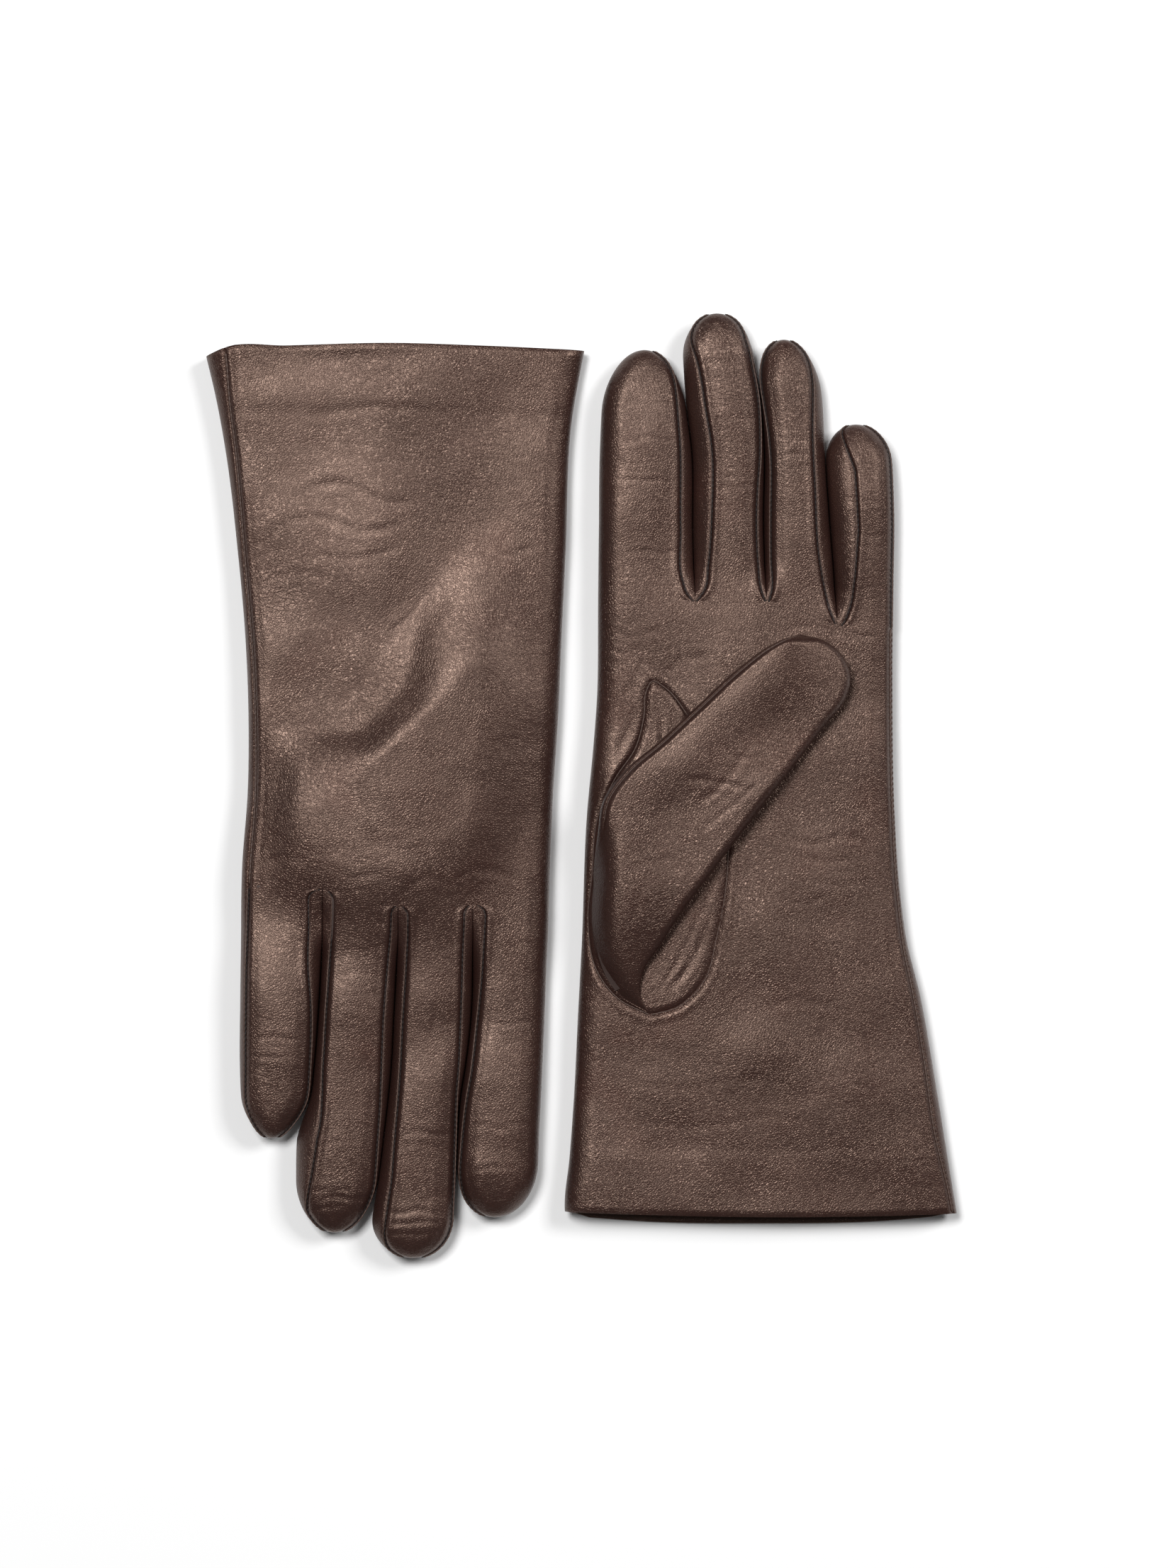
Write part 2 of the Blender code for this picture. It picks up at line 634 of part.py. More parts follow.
def make_thumb(bench):
    glove = bench.glove
    low, high = thumb_levels(glove)
    pivot = bench.pivot("thumb", *glove["thumb_root"], high if glove["palm_up"] else low)
    near, far = hinge_ends(glove)
    into_hand = -1.0 if glove["palm_up"] else 1.0

    def stall(t, s, depth):
        gap = gap_in_tau(s)
        return thumb_point(glove, THUMB_SEAM + gap + (4.0 - 2.0 * gap) * t, s, depth)

    def lining(t, s, depth):
        inset = LEATHER + LINING_GAP + depth
        return thumb_point(glove, THUMB_SEAM + 0.02 + 3.96 * t, s, inset, root_gap=1.0)

    bench.sheet("thumb_stall", stall, 16, 7, LEATHER, pivot=pivot)
    bench.sheet("thumb_lining", lining, 16, 7, LINING, material="lining", pivot=pivot)

    # The heel: leather from the hole's wrist-side edge up to the thumb's root
    heel_edge = (near, *glove["heel_outline"], far)
    first_tau, last_tau = (1.62, 4.38) if glove["palm_up"] else (2.38, -0.38)

    def heel(t, s, depth):
        u, v = inside_edge(heel_edge, t, 0.45 + depth * s)
        z = palm_height(glove, u, v) + into_hand * (0.1 + depth)
        tau = first_tau + (last_tau - first_tau) * t
        end_u, end_v, end_z = thumb_point(glove, tau, 0.0, depth, root_gap=-1.0)
        rise = math.sin(0.5 * math.pi * s)
        return u + (end_u - u) * s, v + (end_v - v) * s, z + (end_z - z) * rise

    bench.sheet("thumb_heel", heel, 14, 4, LEATHER)

    # The quirk: the rest of the hole, closed flat under the folded thumb, with a leaf at its end
    quirk_edge = (far, *QUIRK_OUTLINE, near)
    reach_near, reach_far = glove["hinge_reach"]

    def quirk(t, s, depth):
        across = reach_far - 1.0 + (reach_near - reach_far + 2.0) * t
        base_u, base_v = from_thumb(glove, 1.5, across)
        u, v = inside_edge(quirk_edge, t, 0.45)
        u = base_u + (u - base_u) * s
        v = base_v + (v - base_v) * s
        return u, v, palm_height(glove, u, v) + into_hand * depth

    bench.sheet("thumb_quirk", quirk, 18, 3, LEATHER)


# ---------------------------------------------------------------- the pair

def make_pair():
    clear_scene()
    parts = make_collection("leather_gloves")
    cutters = make_collection("cutters")
    materials = {
        "leather": make_material("brown_nappa_leather", (0.048, 0.024, 0.019), 0.44),
        "lining": make_material("brown_silk_lining", (0.070, 0.042, 0.034), 0.60),
        "thread": make_material("brown_sewing_thread", (0.110, 0.062, 0.045), 0.65),
    }
    for glove in (LEFT, RIGHT):
        bench = Bench(glove, parts, cutters, materials)
        make_hand(bench)
        make_crotches(bench)
        for name in FINGERS:
            make_finger(bench, name)
        make_thumb(bench)


make_pair()
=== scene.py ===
import math

import bpy
import numpy as np
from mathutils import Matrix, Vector, noise


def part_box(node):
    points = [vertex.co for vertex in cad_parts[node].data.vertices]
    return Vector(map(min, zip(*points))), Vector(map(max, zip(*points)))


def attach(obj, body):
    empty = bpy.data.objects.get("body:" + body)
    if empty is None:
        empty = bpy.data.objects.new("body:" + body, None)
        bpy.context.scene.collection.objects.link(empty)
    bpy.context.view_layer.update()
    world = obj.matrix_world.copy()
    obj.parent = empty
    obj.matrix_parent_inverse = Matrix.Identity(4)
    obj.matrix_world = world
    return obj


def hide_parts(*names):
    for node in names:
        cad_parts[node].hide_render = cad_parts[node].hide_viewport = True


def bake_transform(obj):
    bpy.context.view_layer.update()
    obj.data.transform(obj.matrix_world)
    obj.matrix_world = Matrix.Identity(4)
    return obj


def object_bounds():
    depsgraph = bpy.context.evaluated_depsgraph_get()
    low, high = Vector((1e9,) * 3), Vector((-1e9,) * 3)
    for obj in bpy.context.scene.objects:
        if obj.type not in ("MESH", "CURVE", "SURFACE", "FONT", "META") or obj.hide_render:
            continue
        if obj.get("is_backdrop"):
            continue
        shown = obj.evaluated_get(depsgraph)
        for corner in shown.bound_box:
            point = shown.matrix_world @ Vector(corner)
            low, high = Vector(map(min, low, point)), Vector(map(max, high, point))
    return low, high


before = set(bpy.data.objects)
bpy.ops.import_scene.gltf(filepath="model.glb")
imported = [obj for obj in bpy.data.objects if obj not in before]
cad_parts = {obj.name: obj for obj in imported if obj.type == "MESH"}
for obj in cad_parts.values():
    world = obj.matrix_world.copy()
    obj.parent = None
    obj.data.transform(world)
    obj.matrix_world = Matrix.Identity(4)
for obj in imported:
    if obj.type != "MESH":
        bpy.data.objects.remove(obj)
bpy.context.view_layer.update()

MM = 0.001

FINGERS = ("index", "middle", "ring", "little")

# Millimetres: how round the hand's and fingers' edges are, where the folded thumb's underside lies, and the
# spacing and size of stitches. A bead is the raw edge beside a seam.
HAND_CORNER = 7.0
FINGER_CORNER = 6.6
THUMB_LOW = 11.7
BEAD_STEP = 0.4
THREAD_STEP = 0.3
THREAD_PITCH = 1.5
STITCH_STEP = 0.2
STITCH_PITCH = 1.6
STITCH_LENGTH = 1.0
STITCH_RADIUS = 0.16

# Outlines in each glove's own flat frame, in millimetres: u from the index edge to the little-finger edge,
# v from the cuff to the tips. "edges" are (v, index-side edge, little-side edge) of each finger, and
# "seams" are (v, distance of the seam from that edge).
LEFT = {
    "name": "left",
    "palm_up": True,
    "cuff": -1.5,
    "hem_upper": ((-52, 2.4), (-20, 1.4), (5, 1.0), (40, 1.3), (62, 1.9)),
    "hem_lower": ((-52, 0.3), (-25, -1.9), (5, -2.2), (40, -1.4), (62, 1.0)),
    "index_edge": (
        (-2, -51.8), (3, -52.2), (18, -50.8), (34, -49.6), (58, -48.4), (81, -47.2), (118, -45.7),
        (137, -43.9), (150, -42.9), (180, -42.5),
    ),
    "little_edge": (
        (-2, 62.2), (18, 58.9), (42, 55.0), (65, 50.9), (81, 47.0), (93, 45.3), (118, 43.5),
        (156, 42.9), (180, 43.1),
    ),
    "side_seam": ((-2, 1.2), (8, 1.5), (26, 2.8), (45, 2.4), (63, 2.2), (85, 1.2), (110, 0.8), (180, 0.8)),
    "split": ((6, 179.0), (12, 178.0), (19, 175.2), (26, 172.4), (32, 171.5)),
    "slit_growth": (2.0, 12.0),
    "slit_round": 0.0,
    "index": {
        "edges": (
            (171, -42.6, -14.4), (200, -42.3, -15.1), (223, -42.0, -15.4), (236, -41.4, -17.0),
            (252, -40.0, -17.2),
        ),
        "tip": 252.2,
        "dome": 18.0,
        "hinge": 179.0,
        "little_seam": (
            (179, 0.3), (181, 2.0), (185, 3.4), (200, 3.6), (216, 3.6), (229, 3.1), (240, 2.2),
            (249, 0.6),
        ),
    },
    "middle": {
        "edges": (
            (171, -14.1, 6.3), (200, -14.9, 5.4), (223, -15.2, 5.6), (240, -17.4, 4.5),
            (252, -18.8, 2.9), (263, -18.9, 2.4),
        ),
        "tip": 262.8,
        "dome": 13.0,
        "hinge": 179.0,
        "index_seam": (
            (179, 0.3), (182, 2.6), (190, 4.2), (198, 5.1), (210, 5.6), (235, 5.4), (243, 4.9),
            (250, 3.7), (256, 1.5), (261, 0.5),
        ),
        "little_seam": (
            (179, 0.3), (182, 1.3), (190, 2.0), (204, 2.2), (213, 2.0), (223, 1.4), (239, 0.9),
            (248, 1.2), (255, 1.3), (261, 0.5),
        ),
    },
    "ring": {
        "edges": (
            (171, 6.6, 26.6), (185, 6.2, 25.9), (205, 5.7, 24.4), (223, 5.9, 23.0), (235, 5.0, 21.9),
            (255, 1.7, 17.4),
        ),
        "tip": 255.2,
        "dome": 16.0,
        "hinge": 175.5,
        "index_seam": ((178, 0.3), (182, 1.6), (191, 1.8), (219, 1.8), (228, 1.4), (236, 0.9), (252, 0.4)),
        "little_seam": (
            (172, 0.3), (176, 1.7), (183, 3.1), (191, 4.0), (213, 3.7), (233, 3.3), (243, 2.2),
            (251, 0.9),
        ),
    },
    "little": {
        "edges": (
            (168, 27.0, 43.0), (185, 26.1, 43.2), (205, 24.6, 43.4), (215, 23.9, 43.0),
            (231, 23.6, 41.4),
        ),
        "tip": 230.6,
        "dome": 11.0,
        "hinge": 171.5,
        "index_seam": (
            (171, 0.3), (173, 1.9), (177, 3.8), (185, 5.6), (194, 7.0), (204, 8.4), (213, 8.8),
            (220, 7.2), (226, 4.4), (230, 1.0),
        ),
    },
}

RIGHT = {
    "name": "right",
    "palm_up": False,
    "cuff": -0.5,
    "hem_upper": ((-52, 1.6), (-20, 0.2), (5, -0.5), (35, 0.2), (52, 0.6), (59, 3.4)),
    "hem_lower": ((-52, 1.2), (-25, 0.6), (5, 0.4), (40, 0.4), (53, 0.0), (59, 4.6)),
    "index_edge": (
        (-1, -51.8), (21, -47.8), (60, -45.9), (85, -44.7), (108, -43.7), (131, -42.2), (150, -41.4),
        (180, -40.6),
    ),
    "little_edge": (
        (-1, 59.4), (16, 55.4), (31, 52.7), (60, 49.2), (85, 47.0), (108, 46.1), (131, 46.4),
        (150, 47.8), (180, 48.4),
    ),
    "side_seam": ((-1, 6.4), (3, 6.0), (15, 4.1), (31, 3.1), (60, 2.1), (108, 2.2), (150, 2.5), (180, 1.9)),
    "split": ((-20, 162.0), (2, 162.4), (12, 161.0), (20, 158.4), (26, 157.4), (34, 157.2)),
    "slit_growth": (2.5, 24.0),
    "slit_round": 3.2,
    "index": {
        "edges": (
            (171, -40.6, -19.3), (194, -39.8, -18.9), (208, -39.2, -17.3), (217, -38.8, -15.7),
            (229, -38.2, -15.0), (241, -37.8, -14.4), (253, -37.2, -13.6),
        ),
        "tip": 252.8,
        "dome": 16.0,
        "hinge": 179.0,
        "little_seam": ((166, 3.6), (178, 3.0), (194, 2.0), (217, 2.0), (229, 1.5), (241, 0.9), (248, 0.4)),
    },
    "middle": {
        "edges": (
            (171, -18.8, 2.3), (194, -18.3, 3.6), (209, -16.7, 4.4), (225, -14.5, 5.9),
            (241, -13.9, 7.9), (252, -13.3, 10.0), (265, -13.1, 9.4),
        ),
        "tip": 264.6,
        "dome": 12.0,
        "hinge": 179.0,
        "index_seam": ((166, 2.4), (178, 2.9), (194, 3.0), (209, 2.0), (222, 1.0), (241, 0.7), (256, 0.5)),
        "little_seam": (
            (166, 2.8), (178, 2.8), (209, 2.7), (217, 2.9), (233, 3.4), (245, 4.0), (256, 3.6),
            (262, 1.4),
        ),
    },
    "ring": {
        "edges": (
            (171, 2.8, 24.1), (194, 4.0, 25.3), (209, 4.8, 26.6), (217, 5.6, 27.6), (228, 7.0, 31.4),
            (241, 8.6, 32.3), (257, 11.0, 31.2),
        ),
        "tip": 257.2,
        "dome": 15.0,
        "hinge": 175.5,
        "index_seam": ((166, 1.9), (178, 2.5), (209, 2.8), (223, 2.0), (234, 1.5), (243, 1.0), (254, 0.5)),
        "little_seam": (
            (162, 3.0), (184, 2.4), (201, 2.4), (217, 3.4), (228, 6.0), (237, 5.2), (245, 3.6),
            (251, 1.4),
        ),
    },
    "little": {
        "edges": (
            (168, 24.7, 48.2), (190, 25.9, 48.5), (209, 27.3, 48.6), (217, 28.3, 48.3),
            (230, 32.4, 46.4),
        ),
        "tip": 229.9,
        "dome": 12.0,
        "hinge": 171.5,
        "index_seam": ((163, 4.0), (181, 3.6), (190, 2.4), (209, 1.3), (219, 0.9), (227, 0.6)),
    },
}


# ---------------------------------------------------------------- flat curves

def ease(low, high, value):
    """0 at low, 1 at high, and smooth between; low may be the larger."""
    part = np.clip((np.asarray(value, float) - low) / (high - low), 0.0, 1.0)
    return part * part * (3.0 - 2.0 * part)


def line(points, column=1):
    """A smooth function through (place, value) points, level beyond its ends."""
    places = np.array([point[0] for point in points], float)
    values = np.array([point[column] for point in points], float)
    slopes = np.gradient(values, places)

    def read(place):
        place = np.clip(np.asarray(place, float), places[0], places[-1])
        spot = np.clip(np.searchsorted(places, place) - 1, 0, len(places) - 2)
        span = places[spot + 1] - places[spot]
        part = (place - places[spot]) / span
        square = part * part
        cube = square * part
        return ((2 * cube - 3 * square + 1) * values[spot] + (cube - 2 * square + part) * span * slopes[spot]
                + (3 * square - 2 * cube) * values[spot + 1] + (cube - square) * span * slopes[spot + 1])

    return read


def rounded(points, count):
    """count points along the smooth open curve through the given points."""
    corners = np.array(points, float)
    reach = np.concatenate(([0.0], np.cumsum(np.linalg.norm(np.diff(corners, axis=0), axis=1))))
    steps = np.linspace(0.0, reach[-1], count)
    columns = [line(list(zip(reach, values)))(steps) for values in corners.T]
    return np.stack(columns, axis=1)


def rough(points, size, seed=0.0):
    """Smooth noise from -1 to 1 at each point, with features of about size millimetres."""
    flat = np.asarray(points, float).reshape(-1, 3) / size + seed
    values = [noise.noise(Vector(point)) for point in flat]
    return np.array(values).reshape(np.asarray(points).shape[:-1])


def nearest_on(path, u, v):
    """Distance from each flat point to a polyline, and how far along it the nearest point lies."""
    best = np.full(u.shape, 1e9)
    place = np.zeros(u.shape)
    travelled = 0.0
    for start, end in zip(path[:-1], path[1:]):
        step = end - start
        length = float(np.hypot(*step))
        part = np.clip(((u - start[0]) * step[0] + (v - start[1]) * step[1]) / length ** 2, 0.0, 1.0)
        gap = np.hypot(u - start[0] - part * step[0], v - start[1] - part * step[1])
        closer = gap < best
        best = np.where(closer, gap, best)
        place = np.where(closer, travelled + part * length, place)
        travelled += length
    return best, place


def inside(outline, u, v):
    """Which flat points lie within a closed outline."""
    within = np.zeros(u.shape, bool)
    for (u0, v0), (u1, v1) in zip(outline, np.roll(outline, -1, axis=0)):
        crosses = (v0 > v) != (v1 > v)
        if v0 != v1:
            within ^= crosses & (u < (u1 - u0) * (v - v0) / (v1 - v0) + u0)
    return within


# ---------------------------------------------------------------- the shape of the leather

class Glove:
    """One glove's shape: outlines as functions, and the height of its skin."""

    def __init__(self, spec):
        self.spec = spec
        self.name = spec["name"]
        self.palm_up = spec["palm_up"]
        self.index_edge = line(spec["index_edge"])
        self.little_edge = line(spec["little_edge"])
        self.side_seam = line(spec["side_seam"])
        self.split = line(spec["split"])
        low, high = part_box(self.name + "_hand_leather")
        if self.palm_up:
            self.turn = 1.0
            self.place = (high.x / MM - float(self.little_edge(spec["cuff"])), low.y / MM - spec["cuff"])
        else:
            self.turn = -1.0
            self.place = (low.x / MM + float(self.little_edge(spec["cuff"])), high.y / MM + spec["cuff"])

    def world(self, points):
        """Local millimetres to metres in the row frame."""
        points = np.asarray(points, float)
        moved = np.empty(points.shape)
        moved[..., 0] = (self.place[0] + self.turn * points[..., 0]) * MM
        moved[..., 1] = (self.place[1] + self.turn * points[..., 1]) * MM
        moved[..., 2] = points[..., 2] * MM
        return moved

    def half_height(self, v):
        return 0.5 * (9.6 + ease(10.0, 110.0, v))

    def tent(self, u, v):
        """How far the thumb folded under the palm lifts the leather above it."""
        along, across = to_thumb(RIGHT_THUMB, u, v)
        nearest = np.clip(along, 3.0, 56.0)
        outside = np.hypot(along - nearest, np.maximum(np.abs(across) - 3.0, 0.0)) - 14.0
        fade = ease(1.5, 10.0, u - self.index_edge(v)) * ease(0.5, 10.0, 179.0 - v)
        return fade * (1.0 - ease(3.0, 20.0, outside))

    def swell(self, u, v):
        """The softer rise that the folded thumb gives the glove's upper side."""
        along, across = to_thumb(RIGHT_THUMB, u, v)
        nearest = np.clip(along, -8.0, 42.0)
        outside = np.hypot(along - nearest, np.maximum(np.abs(across) - 3.0, 0.0)) - 10.0
        reach = 13.0 + 20.0 * ease(4.0, -14.0, across) + 16.0 * ease(10.0, -20.0, along)
        reach = reach + 22.0 * ease(22.0, 46.0, along)
        fade = ease(1.0, 24.0, u - self.index_edge(v)) * ease(-6.0, 30.0, 179.0 - v)
        fade = fade * ease(1.0, 16.0, self.little_edge(v) - u)
        return fade * (1.0 - ease(1.0, reach, outside))

    def lifted(self, u, v, z, share):
        """Height with the folded thumb beneath: share is 0 on the underside and 1 on top."""
        return z + 8.5 * self.tent(u, v) * (1.0 - share) + 4.4 * self.swell(u, v) * share

    def relief(self, u, v, z, up):
        """Soft unevenness of the empty glove: up is 1 on its upper side and 0 beneath."""
        points = np.stack([u, v, z * 0.0 + (3.0 if self.palm_up else 40.0)], axis=-1)
        broad = 0.95 * rough(points, 38.0, 2.7)
        broad = broad + 0.50 * rough(points, 17.0, 8.1) + 0.08 * rough(points, 7.0, 5.3)
        stretched = points * np.array([0.35, 1.0, 1.0])
        folds = np.abs(rough(stretched, 3.6, 12.4))
        band = ease(-0.1, 0.5, rough(points, 22.0, 31.0))
        fine = -0.05 * band * (1.0 - ease(0.0, 0.16, folds))
        return up * (broad + fine)


THUMB = {"root": (-25.2, 111.8), "angle": 47.5}
RIGHT_THUMB = {"root": (-20.6, 112.6), "angle": 44.0}


def to_thumb(thumb, u, v):
    angle = math.radians(thumb["angle"])
    du = u - thumb["root"][0]
    dv = v - thumb["root"][1]
    return du * math.cos(angle) + dv * math.sin(angle), du * math.sin(angle) - dv * math.cos(angle)


def arc(part):
    """Height of a quarter-round edge, from 0 at its side to 1 on its top."""
    part = np.clip(part, 0.0, 1.0)
    return np.sqrt(1.0 - (1.0 - part) ** 2)


def seam_relief(away, panel):
    """Groove of a seam and the soft swell of the leather beside it, at a distance away from the stitches."""
    groove = -0.75 * np.exp(-(away / 0.36) ** 2)
    swell = 0.30 * np.exp(-((away - 1.3) / 0.9) ** 2)
    return groove + np.where(panel, swell, 0.4 * swell)


# How many stations a section has under it, round a corner, up a side and across its top.
HAND_PARTS = (24, 8, 14, 150)
HAND_LINING_PARTS = (12, 6, 4, 40)
FINGER_PARTS = (8, 6, 14, 44)
LEFT_THUMB_PARTS = (10, 6, 14, 52)
RIGHT_THUMB_PARTS = (10, 6, 10, 30)


def top_start(parts):
    """The column where a section's upper side starts, at the seam by its first edge."""
    return sum(parts[:3])


def top_end(parts):
    return sum(parts)


def top_middle(parts):
    return sum(parts[:3]) + parts[3] // 2


def columns_of(under, corner, side, top):
    """Places round a section, as (part number, position in that part)."""
    steps = []
    for number, count in enumerate((under, corner, side, top, side, corner, under)):
        for step in range(count):
            steps.append((number, step / count))
    return np.array(steps)


def section(columns, a, b, corner_a, corner_b, seam_a, seam_b, low, depth_a, depth_b, base):
    """u and z round a flattened tube, one row per station. base(u) is the height of its upper side."""
    part, step = columns[:, 0][None, :], columns[:, 1][None, :]
    middle = 0.5 * (a + b)
    round_step = np.sin(0.5 * np.pi * step) ** 2
    u = np.where(part == 0, middle + (a + corner_a - middle) * step, 0.0)
    angle = 0.5 * np.pi * (1.0 - step)
    u = np.where(part == 1, a + corner_a * (1.0 - np.cos(angle)), u)
    u = np.where(part == 2, a + seam_a * round_step, u)
    top_step = step - 0.10 * np.sin(2.0 * np.pi * step)
    u = np.where(part == 3, a + seam_a + (b - seam_b - a - seam_a) * top_step, u)
    u = np.where(part == 4, b - seam_b * (1.0 - round_step), u)
    up_angle = 0.5 * np.pi * step
    u = np.where(part == 5, b - corner_b * (1.0 - np.cos(up_angle)), u)
    u = np.where(part == 6, b - corner_b + (middle - b + corner_b) * step, u)
    upper = (part >= 2) & (part <= 4)
    top = base(u)
    top = top - depth_a * (1.0 - arc((u - a) / corner_a)) - depth_b * (1.0 - arc((b - u) / corner_b))
    edge_a = base(a) - depth_a
    edge_b = base(b) - depth_b
    z = np.where(upper, top, low)
    z = np.where(part == 1, low + (edge_a - low) * (1.0 - np.sin(angle)), z)
    z = np.where(part == 5, edge_b + (low - edge_b) * np.sin(up_angle), z)
    return u, z


# ---------------------------------------------------------------- materials

class Nodes:
    """Small helper that adds shader nodes and links them."""

    def __init__(self, material):
        material.use_nodes = True
        self.tree = material.node_tree
        self.shader = self.tree.nodes["Principled BSDF"]

    def add(self, kind, **values):
        node = self.tree.nodes.new(kind)
        for key, value in values.items():
            setattr(node, key, value)
        return node

    def link(self, start, end):
        self.tree.links.new(start, end)

    def place(self):
        node = self.add("ShaderNodeAttribute")
        node.attribute_name = "rest_place"
        return node.outputs["Vector"]

    def noise(self, place, scale, detail=2.0):
        node = self.add("ShaderNodeTexNoise")
        self.link(place, node.inputs["Vector"])
        node.inputs["Scale"].default_value = scale
        node.inputs["Detail"].default_value = detail
        return node.outputs["Fac"]

    def cells(self, place, scale, feature="DISTANCE_TO_EDGE"):
        node = self.add("ShaderNodeTexVoronoi", feature=feature)
        self.link(place, node.inputs["Vector"])
        node.inputs["Scale"].default_value = scale
        return node.outputs["Distance"]

    def ramp(self, value, low, high, start=0.0, end=1.0):
        node = self.add("ShaderNodeMapRange")
        node.interpolation_type = "SMOOTHSTEP"
        self.link(value, node.inputs["Value"])
        node.inputs["From Min"].default_value = low
        node.inputs["From Max"].default_value = high
        node.inputs["To Min"].default_value = start
        node.inputs["To Max"].default_value = end
        return node.outputs["Result"]

    def maths(self, operation, first, second):
        node = self.add("ShaderNodeMath", operation=operation)
        for socket, value in zip(node.inputs, (first, second)):
            if isinstance(value, (int, float)):
                socket.default_value = value
            else:
                self.link(value, socket)
        return node.outputs["Value"]

    def mix(self, share, first, second):
        node = self.add("ShaderNodeMix", data_type="RGBA")
        if isinstance(share, (int, float)):
            node.inputs[0].default_value = share
        else:
            self.link(share, node.inputs[0])
        for socket, value in ((node.inputs[6], first), (node.inputs[7], second)):
            if isinstance(value, tuple):
                socket.default_value = (*value, 1.0)
            else:
                self.link(value, socket)
        return node.outputs[2]

    def bump(self, height, distance, normal=None):
        node = self.add("ShaderNodeBump")
        node.inputs["Strength"].default_value = 1.0
        node.inputs["Distance"].default_value = distance
        self.link(height, node.inputs["Height"])
        if normal:
            self.link(normal, node.inputs["Normal"])
        return node.outputs["Normal"]

    def warped(self, place, scale, amount):
        node = self.add("ShaderNodeTexNoise")
        self.link(place, node.inputs["Vector"])
        node.inputs["Scale"].default_value = scale
        spread = self.add("ShaderNodeVectorMath", operation="SCALE")
        self.link(node.outputs["Color"], spread.inputs[0])
        spread.inputs["Scale"].default_value = amount
        total = self.add("ShaderNodeVectorMath", operation="ADD")
        self.link(place, total.inputs[0])
        self.link(spread.outputs[0], total.inputs[1])
        return total.outputs[0]

    def stretched(self, place, scale):
        node = self.add("ShaderNodeMapping")
        self.link(place, node.inputs["Vector"])
        node.inputs["Scale"].default_value = scale
        return node.outputs["Vector"]


def leather_material():
    material = bpy.data.materials.new("brown_nappa_leather")
    nodes = Nodes(material)
    place = nodes.place()
    bent = nodes.warped(place, 260.0, 0.0016)
    grain = nodes.cells(bent, 1500.0)
    pits = nodes.ramp(grain, 0.02, 0.30)
    pores = nodes.ramp(nodes.cells(place, 900.0, "F1"), 0.06, 0.26)
    patches = nodes.ramp(nodes.noise(place, 26.0, 3.0), 0.40, 0.68)
    crease_place = nodes.warped(nodes.stretched(place, (0.8, 1.35, 1.0)), 150.0, 0.006)
    creases = nodes.ramp(nodes.cells(crease_place, 560.0), 0.0, 0.085)
    crease_share = nodes.ramp(nodes.noise(place, 30.0, 3.0), 0.38, 0.75, 0.05, 0.8)
    crease_depth_and_shade = nodes.maths("MULTIPLY", nodes.maths("SUBTRACT", 1.0, creases), crease_share)
    tone = nodes.mix(nodes.ramp(nodes.noise(place, 55.0, 4.0), 0.30, 0.70), (0.024, 0.0096, 0.0078),
                     (0.032, 0.0130, 0.0104))
    red = nodes.ramp(nodes.noise(place, 38.0, 3.0), 0.58, 0.80, 0.0, 0.55)
    tone = nodes.mix(red, tone, (0.048, 0.0150, 0.0115))
    # Painted shade: the grain's pits are darkened in the base colour, as well as pressed in by the bump.
    pit_shade = nodes.maths("SUBTRACT", 1.0, pits)
    tone = nodes.mix(nodes.maths("MULTIPLY", pit_shade, 0.50), tone, (0.018, 0.009, 0.008))
    # Painted shade: the fine creases are darkened in the base colour, as well as pressed in by the bump.
    tone = nodes.mix(nodes.maths("MULTIPLY", crease_depth_and_shade, 0.55), tone, (0.016, 0.008, 0.007))
    nodes.link(tone, nodes.shader.inputs["Base Color"])
    rough_value = nodes.ramp(nodes.noise(place, 70.0, 3.0), 0.25, 0.75, 0.31, 0.38)
    nodes.link(rough_value, nodes.shader.inputs["Roughness"])
    nodes.shader.inputs["Specular IOR Level"].default_value = 0.80
    nodes.shader.inputs["Specular Tint"].default_value = (1.0, 0.70, 0.56, 1.0)
    depth = nodes.maths("MULTIPLY", pits, nodes.ramp(patches, 0.0, 1.0, 0.70, 1.0))
    normal = nodes.bump(depth, 0.000055)
    normal = nodes.bump(pores, 0.000016, normal)
    normal = nodes.bump(nodes.maths("SUBTRACT", 1.0, crease_depth_and_shade), 0.00005, normal)
    normal = nodes.bump(nodes.noise(place, 900.0, 2.0), 0.00001, normal)
    nodes.link(normal, nodes.shader.inputs["Normal"])
    return material


def plain_material(name, colour, roughness, scale, depth):
    material = bpy.data.materials.new(name)
    nodes = Nodes(material)
    place = nodes.place()
    darker = tuple(0.65 * value for value in colour)
    nodes.link(nodes.mix(nodes.noise(place, scale, 2.0), darker, colour), nodes.shader.inputs["Base Color"])
    nodes.shader.inputs["Roughness"].default_value = roughness
    nodes.link(nodes.bump(nodes.noise(place, scale * 1.7, 2.0), depth), nodes.shader.inputs["Normal"])
    return material


MATERIALS = {
    "leather": leather_material(),
    "edge": plain_material("cut_leather_edge", (0.080, 0.043, 0.031), 0.55, 1500.0, 0.00004),
    "thread": plain_material("brown_sewing_thread", (0.016, 0.0085, 0.0072), 0.7, 2500.0, 0.00003),
    "lining": plain_material("brown_silk_lining", (0.060, 0.036, 0.030), 0.62, 1800.0, 0.00005),
}


# ---------------------------------------------------------------- meshes

def add_mesh(name, points, faces, normals=None, material="leather"):
    """A smooth mesh in the row frame, in metres."""
    mesh = bpy.data.meshes.new(name)
    points = np.asarray(points, float).reshape(-1, 3)
    mesh.from_pydata(points.tolist(), [], faces)
    mesh.shade_smooth()
    if normals is not None:
        mesh.normals_split_custom_set_from_vertices(np.asarray(normals).reshape(-1, 3).tolist())
    rest = mesh.attributes.new("rest_place", "FLOAT_VECTOR", "POINT")
    rest.data.foreach_set("vector", points.astype(np.float32).ravel())
    mesh.materials.append(MATERIALS[material])
    item = bpy.data.objects.new(name, mesh)
    bpy.context.scene.collection.objects.link(item)
    return item


